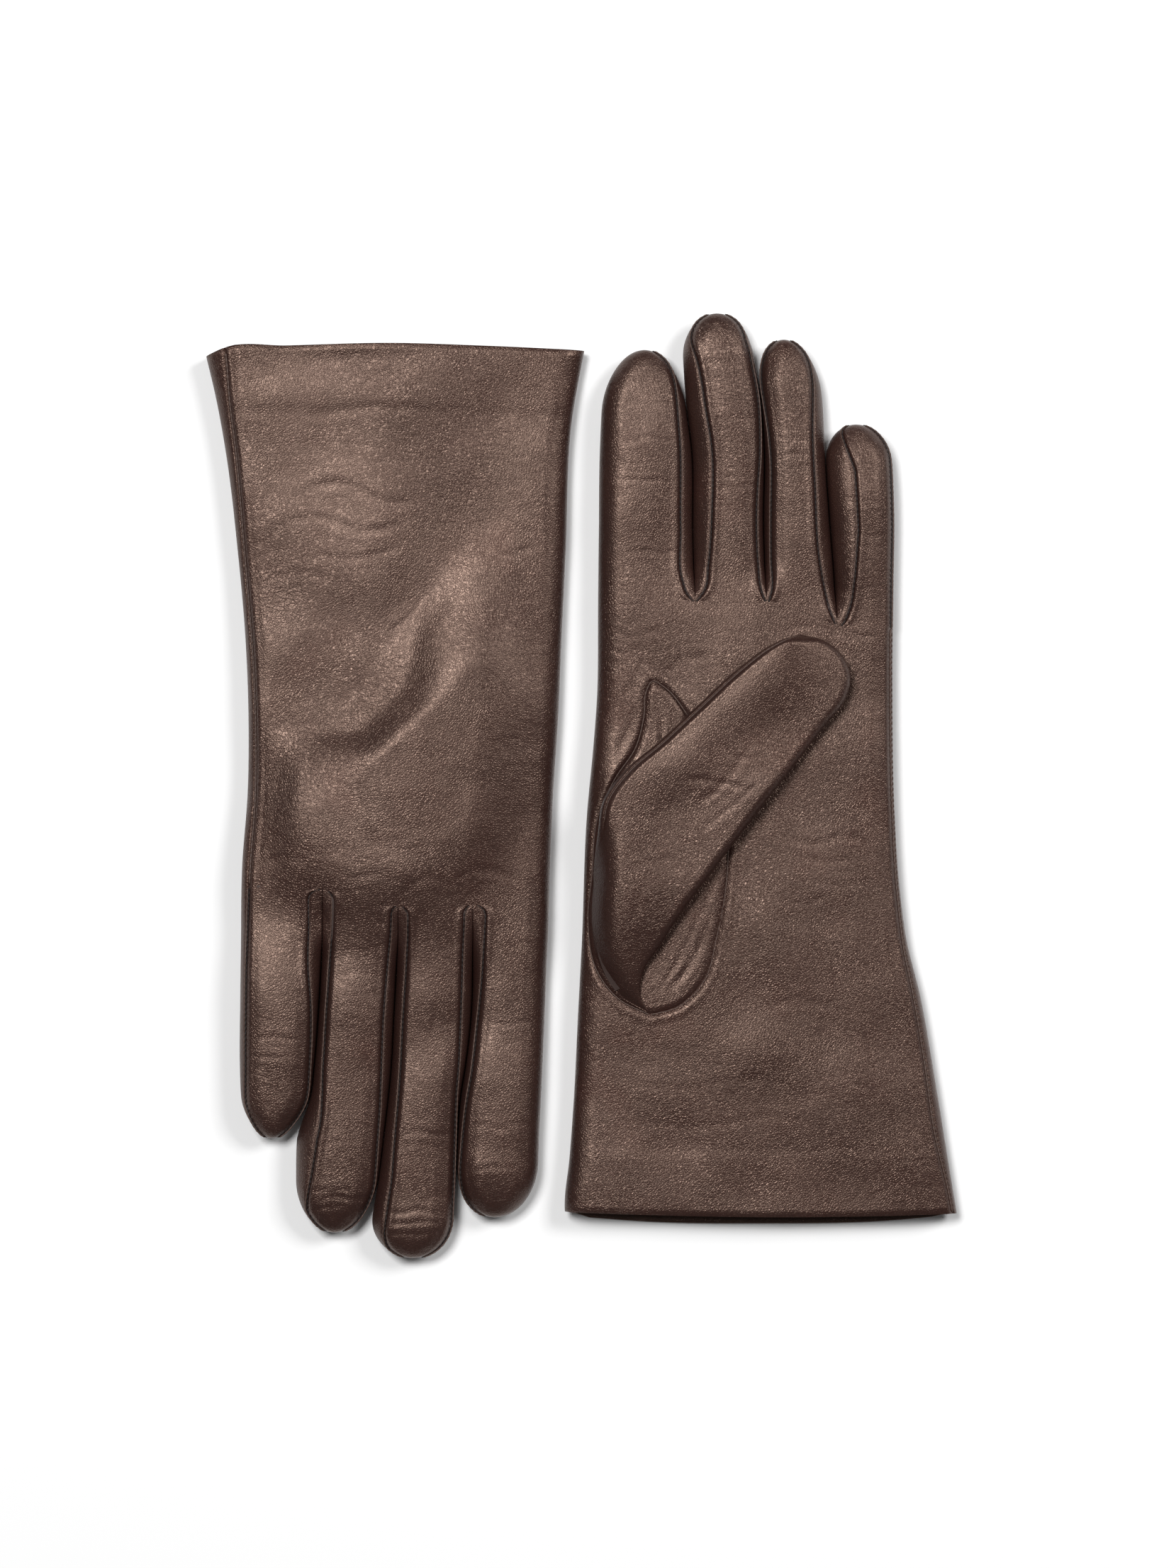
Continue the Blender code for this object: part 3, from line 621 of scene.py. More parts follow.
def grid_faces(rows, columns, closed):
    """Quads of a grid of points, round it if closed."""
    first = np.arange(rows * columns).reshape(rows, columns)
    if closed:
        first = np.concatenate([first, first[:, :1]], axis=1)
    return np.stack([first[:-1, :-1], first[:-1, 1:], first[1:, 1:], first[1:, :-1]], axis=-1).reshape(-1, 4)


def grid_normals(points, faces):
    corners = points[faces]
    facing = np.cross(corners[:, 2] - corners[:, 0], corners[:, 3] - corners[:, 1])
    normals = np.zeros(points.shape)
    for corner in range(4):
        np.add.at(normals, faces[:, corner], facing)
    length = np.linalg.norm(normals, axis=1, keepdims=True)
    return normals / np.maximum(length, 1e-12)


def add_grid(name, glove, grid, closed, outward, material="leather", first=0, last=None):
    """A piece from a grid of local points. Rows outside first..last only shape the edge's shading.

    outward is a row and column whose normal must point up the z axis if positive, down if negative.
    """
    rows, columns = grid.shape[:2]
    last = rows if last is None else last
    points = glove.world(grid).reshape(-1, 3)
    faces = grid_faces(rows, columns, closed)
    normals = grid_normals(points, faces)
    row, column, sign = outward
    if normals[row * columns + column][2] * sign < 0.0:
        faces = faces[:, ::-1]
        normals = -normals
    keep = (faces.min(axis=1) >= first * columns) & (faces.max(axis=1) < last * columns)
    faces = faces[keep] - first * columns
    points = points[first * columns:last * columns]
    normals = normals[first * columns:last * columns]
    return add_mesh(name, points, faces.tolist(), normals, material)


def tube(path, radius, sides=6):
    """Points and faces of a round tube along a path of world points; radius may vary."""
    path = np.asarray(path, float)
    radius = np.broadcast_to(np.asarray(radius, float), (len(path),))
    forward = np.gradient(path, axis=0)
    forward /= np.maximum(np.linalg.norm(forward, axis=1, keepdims=True), 1e-12)
    side = np.cross(forward, np.array([0.0, 0.0, 1.0]))
    side /= np.maximum(np.linalg.norm(side, axis=1, keepdims=True), 1e-12)
    above = np.cross(side, forward)
    angles = 2.0 * np.pi * np.arange(sides) / sides
    ring = (np.cos(angles)[None, :, None] * side[:, None, :]
            + np.sin(angles)[None, :, None] * above[:, None, :])
    points = path[:, None, :] + radius[:, None, None] * ring
    faces = grid_faces(len(path), sides, True).tolist()
    faces.append(list(range(sides))[::-1])
    faces.append([(len(path) - 1) * sides + number for number in range(sides)])
    return points.reshape(-1, 3), faces


def joined(pieces):
    """Several (points, faces) as one."""
    points, faces, count = [], [], 0
    for some_points, some_faces in pieces:
        points.append(some_points)
        faces.extend([[index + count for index in face] for face in some_faces])
        count += len(some_points)
    return np.concatenate(points), faces


def resampled(path, step):
    """The same path with points step apart."""
    path = np.asarray(path, float)
    reach = np.concatenate(([0.0], np.cumsum(np.linalg.norm(np.diff(path, axis=0), axis=1))))
    steps = np.arange(0.0, reach[-1], step)
    return np.stack([np.interp(steps, reach, path[:, axis]) for axis in range(3)], axis=1)


def beat_along(path, step, pitch):
    """A wave along a path resampled at step, with one crest at every stitch."""
    return np.cos(2.0 * np.pi * np.arange(len(path)) * step / pitch)


def seam_bead(glove, path, radius):
    """The raw edge beside a seam: a thin bead nipped at every stitch."""
    path = resampled(path, BEAD_STEP)
    nipped = radius * (1.0 - 0.22 * beat_along(path, BEAD_STEP, STITCH_PITCH))
    nipped[0] *= 0.3
    nipped[-1] *= 0.3
    return tube(glove.world(path), nipped * MM)


def flat_unit(steps):
    return steps / np.maximum(np.linalg.norm(steps, axis=1, keepdims=True), 1e-9)


def thread_line(glove, path):
    """Sewing thread lying in its groove, swelling at every stitch."""
    path = resampled(path, THREAD_STEP)
    path[:, 2] += 0.12
    beat = beat_along(path, THREAD_STEP, THREAD_PITCH)
    path[:, 2] += 0.07 * beat
    return tube(glove.world(path), (0.20 + 0.06 * beat) * MM, 5)


def stitches(glove, path, shift):
    """Short threads in a row along a path, moved shift millimetres to its side."""
    path = resampled(path, STITCH_STEP)
    pieces = []
    every = int(STITCH_PITCH / STITCH_STEP)
    reach = int(STITCH_LENGTH / STITCH_STEP)
    for start in range(2, len(path) - reach - 2, every):
        run = path[start:start + reach + 1]
        ahead = run[-1] - run[0]
        side = np.array([ahead[1], -ahead[0], 0.0])
        side /= max(np.linalg.norm(side), 1e-9)
        count = len(run)
        bow = np.sin(np.pi * np.arange(count) / (count - 1))
        run = run + side * shift + np.array([0.0, 0.0, 1.0]) * (0.10 * bow[:, None] - 0.03)
        pieces.append(tube(glove.world(run), STITCH_RADIUS * MM * (0.45 + 0.55 * bow), 5))
    return pieces


# ---------------------------------------------------------------- hand

def hand_skin(glove, s, columns, inset=0.0):
    """Points of the hand's skin; s is 0 at the hem and 1 at the fingers, one row per value."""
    s = np.asarray(s, float)[:, None]
    upper_part = (columns[:, 0] >= 2) & (columns[:, 0] <= 4)
    blend_part = ease(-0.5, 1.0, np.where(columns[:, 0] == 1, columns[:, 1], 0.0)
                      + np.where(columns[:, 0] == 5, 1.0 - columns[:, 1], 0.0))
    upness = np.where(upper_part, 1.0, blend_part)[None, :]
    hem_upper = line(glove.spec["hem_upper"])
    hem_lower = line(glove.spec["hem_lower"])
    v = np.broadcast_to(s * glove.split(0.0), (len(s), len(columns))).copy()
    for _ in range(3):
        a = glove.index_edge(v)
        b = glove.little_edge(v)
        u, z = hand_section(glove, columns, v, a, b, inset)
        hem = upness * hem_upper(u) + (1.0 - upness) * hem_lower(u)
        v = hem + s * (glove.split(u) - hem)
    return u, v, z


def hand_section(glove, columns, v, a, b, inset):
    a = a + inset
    b = b - inset
    half = glove.half_height(v)
    centre = 0.5 * (a + b)
    width = 0.5 * (b - a)
    seam_b = np.maximum(glove.side_seam(v) - inset, 0.3)

    def base(u):
        return 2.0 * half - inset + 0.9 * (1.0 - ((u - centre) / width) ** 2)

    corner = HAND_CORNER - inset
    u, z = section(columns, a, b, corner, corner, corner, seam_b, inset, half - inset, half - inset, base)
    if not glove.palm_up:
        share = np.clip(z / (2.0 * half), 0.0, 1.0)
        z = glove.lifted(u, v, z, share)
    return u, z


HAND_COLUMNS = columns_of(*HAND_PARTS)
INNER_ROWS = 10
TURN_ROWS = 5


def hand_surface(glove):
    """Rows from inside the turned hem, round it, and up to the fingers."""
    inner_reach = np.linspace(17.0, 1.0, INNER_ROWS)
    length = float(glove.split(0.0))
    rows = []
    for reach in inner_reach:
        rows.append((reach / length, 1.35))
    for angle in np.radians(np.linspace(150.0, 30.0, TURN_ROWS)):
        rows.append((0.35 / length * (1.0 - math.sin(angle)), 0.68 * (1.0 - math.cos(angle))))
    outer = np.concatenate([np.linspace(0.0, 1.0, 250), [1.0 + 0.6 / length, 1.0 + 1.2 / length]])
    s = np.array([row[0] for row in rows] + list(outer))
    inset = np.array([row[1] for row in rows] + [0.0] * len(outer))
    pieces = []
    for value in sorted(set(inset.tolist()), reverse=True):
        chosen = inset == value
        pieces.append((np.nonzero(chosen)[0], hand_skin(glove, s[chosen], HAND_COLUMNS, value)))
    shape = (len(s), len(HAND_COLUMNS))
    u, v, z = np.zeros(shape), np.zeros(shape), np.zeros(shape)
    for numbers, (some_u, some_v, some_z) in pieces:
        u[numbers], v[numbers], z[numbers] = some_u, some_v, some_z
    outer_rows = (inset == 0.0)[:, None]
    part = HAND_COLUMNS[:, 0][None, :]
    up = np.where((part >= 2) & (part <= 4), 1.0, 0.0) * np.clip((z - 5.0) / 4.0, 0.0, 1.0)
    lift = glove.relief(u, v, z, up)
    seam = glove.little_edge(v) - glove.side_seam(v)
    away = np.abs(seam - u)
    lift = lift + 0.8 * up * seam_relief(away, u < seam)
    lift = lift + up * hem_relief(glove, u, v)
    lift = lift + up * (palm_details(u, v) if glove.palm_up else back_details(u, v))
    z = z + np.where(outer_rows, lift, np.minimum(lift, 0.0))
    return np.stack([u, v, z], axis=-1)


def hem_relief(glove, u, v):
    """The turned hem is thicker, so a soft step shows where it ends."""
    hem = line(glove.spec["hem_upper"])(u)
    return 0.16 * (1.0 - ease(16.0, 20.0, v - hem)) - 0.5 * (1.0 - ease(0.0, 1.5, v - hem))


def crease(u, v, path, depth, width, swell=0.45):
    """A crease pressed into the leather along a path, shallower towards its ends."""
    curve = rounded(path, 24)
    away, place = nearest_on(curve, u, v)
    total = float(np.linalg.norm(np.diff(curve, axis=0), axis=1).sum())
    fade = ease(0.0, 0.25, place / total) * ease(0.0, 0.25, 1.0 - place / total)
    fold = -np.exp(-(away / width) ** 2) + swell * np.exp(-((away - 2.2 * width) / (1.3 * width)) ** 2)
    waver = 0.75 + 0.5 * rough(np.stack([u, v, 0.0 * u], axis=-1), 5.0, 71.0)
    return 0.5 * depth * waver * fade * fold


def creased(lift, table, u, v, share=1.0):
    """lift with each crease of a table of (path, depth, width) pressed into it."""
    for path, depth, width in table:
        lift = lift + share * crease(u, v, path, depth, width)
    return lift


def soft_step(u, v, start, end, height, width):
    """A slope along a line: high on the left of it, seen from start to end, fading beyond both ends."""
    start, end = np.array(start, float), np.array(end, float)
    step = end - start
    length = float(np.hypot(*step))
    along = ((u - start[0]) * step[0] + (v - start[1]) * step[1]) / length
    side = (-(u - start[0]) * step[1] + (v - start[1]) * step[0]) / length
    fade = ease(-12.0, 10.0, along) * ease(-12.0, 10.0, length - along)
    return height * fade * ease(-width, width, side) * (1.0 - ease(width, 5.0 * width, side))


HOLE = (
    (-27.5, 59.5), (-37.0, 64.5), (-42.9, 72.4), (-45.4, 86.6), (-44.3, 99.3), (-42.2, 118.0),
    (-37.5, 128.0), (-31.6, 137.0), (-29.2, 146.5), (-28.7, 152.8), (-26.7, 156.2), (-23.4, 154.4),
    (-16.8, 146.5), (-9.5, 133.0), (-5.2, 118.0), (-4.9, 107.5), (-5.5, 96.8), (-8.2, 82.0),
    (-11.9, 69.3), (-19.0, 62.0), (-27.5, 59.5),
)


PALM_CREASES = (
    (((-40, 172), (-33, 169), (-24, 171)), 0.20, 0.8),
    (((-41, 166), (-35, 164), (-30, 165)), 0.16, 0.7),
    (((-36, 150), (-32, 157), (-29, 163)), 0.22, 1.0),
    (((-24, 157), (-18, 162), (-9, 163)), 0.22, 1.1),
    (((-38, 135), (-33, 143), (-31, 150)), 0.24, 1.0),
    (((14, 163), (24, 166), (36, 161)), 0.24, 1.2),
    (((8, 170), (18, 172), (30, 168)), 0.16, 0.9),
    (((27, 171), (33, 169), (40, 170)), 0.20, 0.8),
    (((8, 113), (18, 109), (30, 111), (38, 108)), 0.26, 1.0),
    (((12, 107), (22, 104), (34, 105)), 0.20, 0.9),
    (((4, 96), (14, 92), (28, 95)), 0.16, 0.9),
    (((16, 99), (26, 97), (40, 99)), 0.18, 0.8),
    (((-8, 62), (-2, 70), (0, 80)), 0.14, 0.9),
    (((-40, 42), (-20, 38), (0, 41), (20, 37)), 0.14, 1.1),
    (((-36, 30), (-14, 27), (8, 30), (30, 26)), 0.12, 1.0),
    (((2, 60), (16, 64), (30, 60)), 0.14, 1.1),
    (((30, 78), (38, 70), (42, 58)), 0.20, 1.2),
)


def palm_details(u, v):
    """The thumb's opening and the creases of the palm."""
    outline = rounded(HOLE, 90)
    away, _ = nearest_on(outline, u, v)
    within = inside(outline[:-1], u, v)
    lift = np.where(within, -1.5 * ease(0.0, 1.6, away), 0.0)
    swell = 0.22 * np.exp(-((away - 1.6) / 1.2) ** 2)
    lift = lift - 0.50 * np.exp(-(away / 0.5) ** 2) + np.where(within, 0.0, swell)
    lift = creased(lift, PALM_CREASES, u, v)
    lift = lift + soft_step(u, v, (44, 40), (-6, 62), 0.9, 9.0)
    lift = lift + soft_step(u, v, (36, 82), (-2, 92), 0.6, 7.0)
    return lift


BACK_CREASES = (
    (((34, 44), (20, 40), (4, 46), (-10, 42)), 0.26, 1.2),
    (((38, 52), (26, 50), (12, 54), (-4, 50)), 0.24, 1.1),
    (((30, 60), (14, 62), (0, 58)), 0.20, 1.0),
    (((40, 68), (30, 66), (18, 70)), 0.20, 1.0),
    (((-38, 58), (-28, 61), (-18, 57)), 0.20, 1.0),
    (((-40, 72), (-32, 74), (-24, 70)), 0.16, 0.9),
    (((6, 84), (-2, 78), (-8, 70)), 0.22, 1.1),
    (((24, 150), (16, 154), (6, 152)), 0.22, 1.0),
    (((44, 152), (36, 148), (28, 150)), 0.22, 1.0),
    (((-12, 156), (-22, 152), (-34, 156)), 0.22, 1.0),
    (((2, 160), (-6, 154), (-14, 158)), 0.20, 0.9),
    (((34, 22), (10, 18), (-18, 22)), 0.12, 1.2),
)


def back_details(u, v):
    """What the folded thumb and the wearer's wrist leave on the back of the other glove."""
    lift = soft_step(u, v, (-20, 60), (20, 114), 1.0, 6.0)
    lift = lift - 0.9 * np.exp(-(((u - 24) / 16.0) ** 2 + ((v - 100) / 20.0) ** 2))
    lift = lift - 1.1 * np.exp(-(((u - 14) / 20.0) ** 2 + ((v - 4) / 6.0) ** 2))
    lift = creased(lift, BACK_CREASES, u, v)
    return lift


def make_hand(glove):
    grid = hand_surface(glove)
    names = [glove.name + "_" + part for part in
             ("hand_leather", "crotch_index_middle", "crotch_middle_ring", "crotch_ring_little")]
    item = add_grid(glove.name + "_hand_skin", glove, grid, True, (120, top_middle(HAND_PARTS), 1.0),
                    last=len(grid) - 2)
    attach(item, glove.name + "_hand")
    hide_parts(*names)

    u, v, z = hand_skin(glove, np.linspace(0.085, 0.95, 60), columns_of(*HAND_LINING_PARTS), 1.75)
    lining = add_grid(glove.name + "_hand_inside", glove, np.stack([u, v, z], axis=-1), True, (30, 40, 1.0),
                      "lining")
    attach(lining, glove.name + "_hand")
    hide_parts(glove.name + "_hand_lining")

    v = np.arange(float(line(glove.spec["hem_upper"])(55.0)) + 0.6, float(glove.split(45.0)), 1.0)
    path = side_seam_path(grid, v)
    rows = [seam_bead(glove, path, 0.30)] + stitches(glove, path, 0.45 * glove.turn)
    seam = add_mesh(glove.name + "_side_seam", *joined(rows), material="edge")
    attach(seam, glove.name + "_hand")
    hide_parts(glove.name + "_side_seam_thread")


def side_seam_path(grid, stations):
    """Points just on the skin along the side seam."""
    outer = grid[INNER_ROWS + TURN_ROWS + 1:, top_end(HAND_PARTS)]
    order = np.argsort(outer[:, 1])
    u = np.interp(stations, outer[order, 1], outer[order, 0])
    z = np.interp(stations, outer[order, 1], outer[order, 2])
    return np.stack([u, stations, z + 0.22], axis=1)


# ---------------------------------------------------------------- fingers

FINGER_COLUMNS = columns_of(*FINGER_PARTS)


def valley(glove, name, after, v):
    """The line on which two neighbouring fingers meet."""
    near = line(glove.spec[name]["edges"], 2)(v)
    far = line(glove.spec[after]["edges"], 1)(v)
    return 0.5 * (near + far)


def finger_edges(glove, name, v):
    """The finger's two edges, which run on from the hand's and just miss the neighbours'."""
    spec = glove.spec[name]
    number = FINGERS.index(name)
    a = line(spec["edges"], 1)(v)
    b = line(spec["edges"], 2)(v)
    if number > 0:
        a = valley(glove, FINGERS[number - 1], name, v) + 0.04
    if number < 3:
        b = valley(glove, name, FINGERS[number + 1], v) - 0.04
    share = ease(166.0, 182.0, v)
    if name == "index":
        a = a * share + glove.index_edge(v) * (1.0 - share)
    if name == "little":
        b = b * share + glove.little_edge(v) * (1.0 - share)
    return a, b


def finger_surface(glove, name):
    spec = glove.spec[name]
    tip, dome = spec["tip"], spec["dome"]
    straight = tip - dome
    body = np.linspace(-0.012, 1.0, 130)
    angles = np.radians(np.concatenate([np.linspace(0.0, 80.0, 40)[1:], [83.5, 86.5, 88.5, 90.0]]))
    rows = len(body) + len(angles)
    root_middle = 0.5 * sum(finger_edges(glove, name, np.array(175.0)))
    root = float(glove.split(root_middle))
    v = np.concatenate([root + body * (straight - root), straight + dome * np.sin(angles)])[:, None]
    width = np.concatenate([np.ones(len(body)), np.maximum(np.cos(angles), 0.0) ** 0.97])[:, None]
    height = np.concatenate([np.ones(len(body)), np.maximum(np.cos(angles), 0.0) ** 0.7])[:, None]
    v = np.broadcast_to(v, (rows, len(FINGER_COLUMNS))).copy()
    straight_part = np.concatenate([body, np.ones(len(angles))])[:, None]
    u = np.full(v.shape, root_middle)
    for _ in range(3):
        root = glove.split(u)
        v_body = root + straight_part * (straight - root)
        v = np.where(straight_part < 1.0, v_body, v)
        u, z, away, on_panel, up = finger_section(glove, name, v, width, height)
    past_root = v - glove.split(u)
    lift = seam_relief(away, on_panel) * up * ease(0.0, 1.5, past_root) * height
    if name == "little":
        side = finger_edges(glove, name, v)[1] - side_seam_distance(glove, v)
        lift = lift + 0.8 * seam_relief(np.abs(side - u), u < side) * up * height
    details = palm_details(u, v) if glove.palm_up else back_details(u, v)
    lift = lift + up * details * (1.0 - ease(2.0, 24.0, past_root))
    lift = lift + glove.relief(u, v, z, up) * height + up * finger_creases(glove, name, u, v) * height
    return np.stack([u, v, z + lift], axis=-1)


def side_seam_distance(glove, v):
    return glove.side_seam(v) * (1.0 - 0.6 * ease(205.0, 235.0, v))


def seam_distance(glove, name, side, v, root):
    """How far the seam runs from the finger's edge, rounding off at the end of the slit."""
    table = glove.spec[name].get(side)
    if table is None:
        outer = side_seam_distance(glove, v) if side == "little_seam" else np.full(np.shape(v), 6.0)
        return outer, False
    distance = line(table)(v)
    if glove.spec["slit_round"]:
        radius = glove.spec["slit_round"]
        part = np.clip((v - root) / radius, 0.0, 1.0)
        distance = distance * np.sqrt(1.0 - (1.0 - part) ** 2) + 0.02
    return distance, True


def finger_section(glove, name, v, width, height):
    """u and z round a finger, with what its seams and wrinkles need to know of each point."""
    a, b = finger_edges(glove, name, v)
    middle = 0.5 * (a + b)
    past_root = v - glove.split(middle)
    root_a, root_b = glove.split(a), glove.split(b)
    seam_a, slit_a = seam_distance(glove, name, "index_seam", v, root_a)
    seam_b, slit_b = seam_distance(glove, name, "little_seam", v, root_b)
    a = middle + (a - middle) * width
    b = middle + (b - middle) * width
    half_width = 0.5 * (b - a)
    seam_a = np.minimum(seam_a, 0.85 * half_width) * width
    seam_b = np.minimum(seam_b, 0.85 * half_width) * width
    start, end = glove.spec["slit_growth"]
    grow_a = ease(start - 2.0, end, v - root_a)
    grow_b = ease(start - 2.0, end, v - root_b)
    growth_a = grow_a if slit_a else 1.0
    growth_b = grow_b if slit_b else 1.0
    half = glove.half_height(v) + (5.5 - glove.half_height(v)) * ease(0.0, 30.0, past_root)
    hand_a = glove.index_edge(v)
    hand_b = glove.little_edge(v)
    hand_centre = 0.5 * (hand_a + hand_b)
    share = ease(0.0, 26.0, past_root)

    def base(u):
        hand = 0.9 * (1.0 - np.clip((u - hand_centre) / (0.5 * (hand_b - hand_a)), -1.0, 1.0) ** 2)
        finger = 1.0 - np.clip((u - middle) / np.maximum(half_width, 0.01), -1.0, 1.0) ** 2
        return 2.0 * half + hand * (1.0 - share) + finger * share

    corner = np.minimum(FINGER_CORNER, half_width * 0.92)
    corner_a = corner if not slit_a else np.minimum(corner, np.maximum(seam_a * 1.5, 0.6) + 6.6 * grow_a)
    corner_b = corner if not slit_b else np.minimum(corner, np.maximum(seam_b * 1.5, 0.6) + 6.6 * grow_b)
    low = np.zeros(v.shape)
    u, z = section(FINGER_COLUMNS, a, b, corner_a, corner_b, seam_a, seam_b, low,
                   half * growth_a, half * growth_b, base)
    z = 5.5 + (z - 5.5) * height
    if not glove.palm_up:
        share_up = np.clip(z / (2.0 * half), 0.0, 1.0)
        z = glove.lifted(u, v, z, share_up)
    away_a = np.abs(u - a - seam_a)
    away_b = np.abs(b - seam_b - u)
    away = np.minimum(away_a if slit_a else 99.0, away_b if slit_b else 99.0)
    on_panel = (u > a + seam_a) & (u < b - seam_b)
    part = FINGER_COLUMNS[:, 0][None, :]
    up = np.where((part >= 2) & (part <= 4), 1.0, 0.0) * np.clip((z - 4.5) / 3.0, 0.0, 1.0)
    return u, z, away, on_panel, up


CREASES = {
    "right_ring": ((247, 0.22), (249.5, 0.2), (244, 0.14), (231, 0.12)),
    "right_middle": ((251, 0.26), (254, 0.2), (257.5, 0.16), (228, 0.16), (232, 0.12)),
    "right_index": ((238, 0.16), (226, 0.12), (196, 0.10)),
    "right_little": ((206, 0.14), (201, 0.12)),
    "left_index": ((236, 0.14), (226, 0.12), (214, 0.10), (193, 0.12)),
    "left_middle": ((248, 0.14), (232, 0.10), (212, 0.12)),
    "left_ring": ((234, 0.14), (221, 0.16), (226, 0.12)),
    "left_little": ((208, 0.12), (198, 0.10)),
}


def finger_creases(glove, name, u, v):
    """Small wrinkles across the finger."""
    a, b = finger_edges(glove, name, v)
    across = (u - 0.5 * (a + b)) / (0.5 * (b - a))
    lift = np.zeros(v.shape)
    points = np.stack([u, v * 0.0, v * 0.0], axis=-1)
    for number, (place, depth) in enumerate(CREASES[glove.name + "_" + name]):
        wander = 1.3 * rough(points, 6.0, 3.1 * number + place)
        away = np.abs(v - place - wander)
        fold = -np.exp(-(away / 0.7) ** 2) + 0.5 * np.exp(-((away - 1.6) / 0.9) ** 2)
        lift = lift + 0.42 * depth * fold * (1.0 - ease(0.35, 0.85, np.abs(across + 0.25 * math.sin(place))))
    return lift


def make_finger(glove, name):
    grid = finger_surface(glove, name)
    full = f"{glove.name}_{name}"
    under, over = ("back", "palm") if glove.palm_up else ("palm", "back")
    if name == "index":
        parts = ["leather", "fourchette_little_side"]
    elif name == "little":
        parts = [over, under, "fourchette_index_side"]
    else:
        parts = [over, under, "fourchette_index_side", "fourchette_little_side"]
    top_column = top_middle(FINGER_PARTS)
    skin = add_grid(full + "_skin", glove, grid, True, (60, top_column, 1.0), first=1)
    bend(glove, name, skin)
    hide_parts(*[f"{full}_{part}" for part in parts])

    pieces, groove = [], []
    for column, beside in ((top_start(FINGER_PARTS), -2), (top_end(FINGER_PARTS), 2)):
        if name == "index" and beside < 0:
            continue
        path = grid[2:-5, column].copy()
        groove.append(thread_line(glove, path))
        outer = grid[2:-5, column + beside].copy()
        outer[:, :2] = path[:, :2] + 0.42 * flat_unit(outer[:, :2] - path[:, :2])
        outer[:, 2] = path[:, 2] + 0.42
        pieces.append(seam_bead(glove, outer, 0.20))
    seams = add_mesh(full + "_seams", *joined(pieces), material="edge")
    bend(glove, name, seams)
    sewing = add_mesh(full + "_sewing", *joined(groove), material="thread")
    bend(glove, name, sewing)

    inner = grid[::4, ::2].copy()
    centre = inner.mean(axis=1, keepdims=True)
    shrink = 1.0 - 1.7 / np.maximum(np.abs(inner - centre).max(axis=1, keepdims=True), 3.0)
    inner = centre + (inner - centre) * shrink
    lining = add_grid(full + "_inside", glove, inner, True, (15, top_column // 2, 1.0), "lining")
    bend(glove, name, lining)
    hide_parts(full + "_lining")


def bend(glove, name, item):
    """Bakes the piece's placement into its mesh. The finger's hinge line is worked out but not used."""
    hinge = glove.spec[name]["hinge"]
    a, b = finger_edges(glove, name, np.array(hinge))
    u = 0.5 * (float(a) + float(b))
    start, end = glove.world([(u, hinge - 1.0, 11.0), (u, hinge + 22.0, 11.0)])
    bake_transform(item)


# ---------------------------------------------------------------- thumbs

def palm_top(glove, u, v):
    """Height of the palm's outer skin, on a glove lying palm up."""
    a = glove.index_edge(v)
    b = glove.little_edge(v)
    half = glove.half_height(v)
    base = 2.0 * half + 0.9 * (1.0 - np.clip((u - 0.5 * (a + b)) / (0.5 * (b - a)), -1, 1) ** 2)
    return base - half * (1.0 - arc((u - a) / HAND_CORNER)) - half * (1.0 - arc((b - u) / HAND_CORNER))


THUMB_LEFT_EDGE = (
    (-28.4, 60.3), (-36.8, 65.2), (-42.2, 73.0), (-44.7, 86.6), (-44.0, 99.3), (-42.6, 112.0),
    (-41.0, 121.6), (-35.6, 129.4), (-25.0, 138.6), (-14.8, 148.1), (-2.5, 159.4), (5.7, 165.5),
    (11.5, 168.4), (15.8, 169.6),
)
THUMB_RIGHT_EDGE = (
    (-28.0, 60.8), (-30.2, 65.0), (-29.6, 71.5), (-24.6, 79.6), (-18.0, 89.8), (-9.0, 101.8),
    (-1.0, 112.3), (6.8, 122.4), (15.0, 132.9), (22.8, 142.9), (29.0, 151.0), (30.4, 157.0),
    (27.9, 163.6), (22.6, 167.8), (16.2, 169.6),
)


THUMB_CREASES = (
    (((-17, 118), (-6, 127), (2, 139)), 0.34, 0.9),
    (((-20, 128), (-9, 127), (4, 124)), 0.30, 0.8),
    (((-14, 112), (-4, 120), (5, 128)), 0.26, 0.8),
    (((-33, 108), (-27, 104), (-20, 106)), 0.24, 0.8),
    (((-34, 100), (-29, 104), (-23, 101)), 0.20, 0.8),
    (((-35, 84), (-31, 92), (-29, 101)), 0.18, 1.0),
    (((-10, 140), (-2, 134), (8, 135)), 0.22, 0.8),
    (((14, 158), (20, 154), (26, 155)), 0.12, 0.8),
)


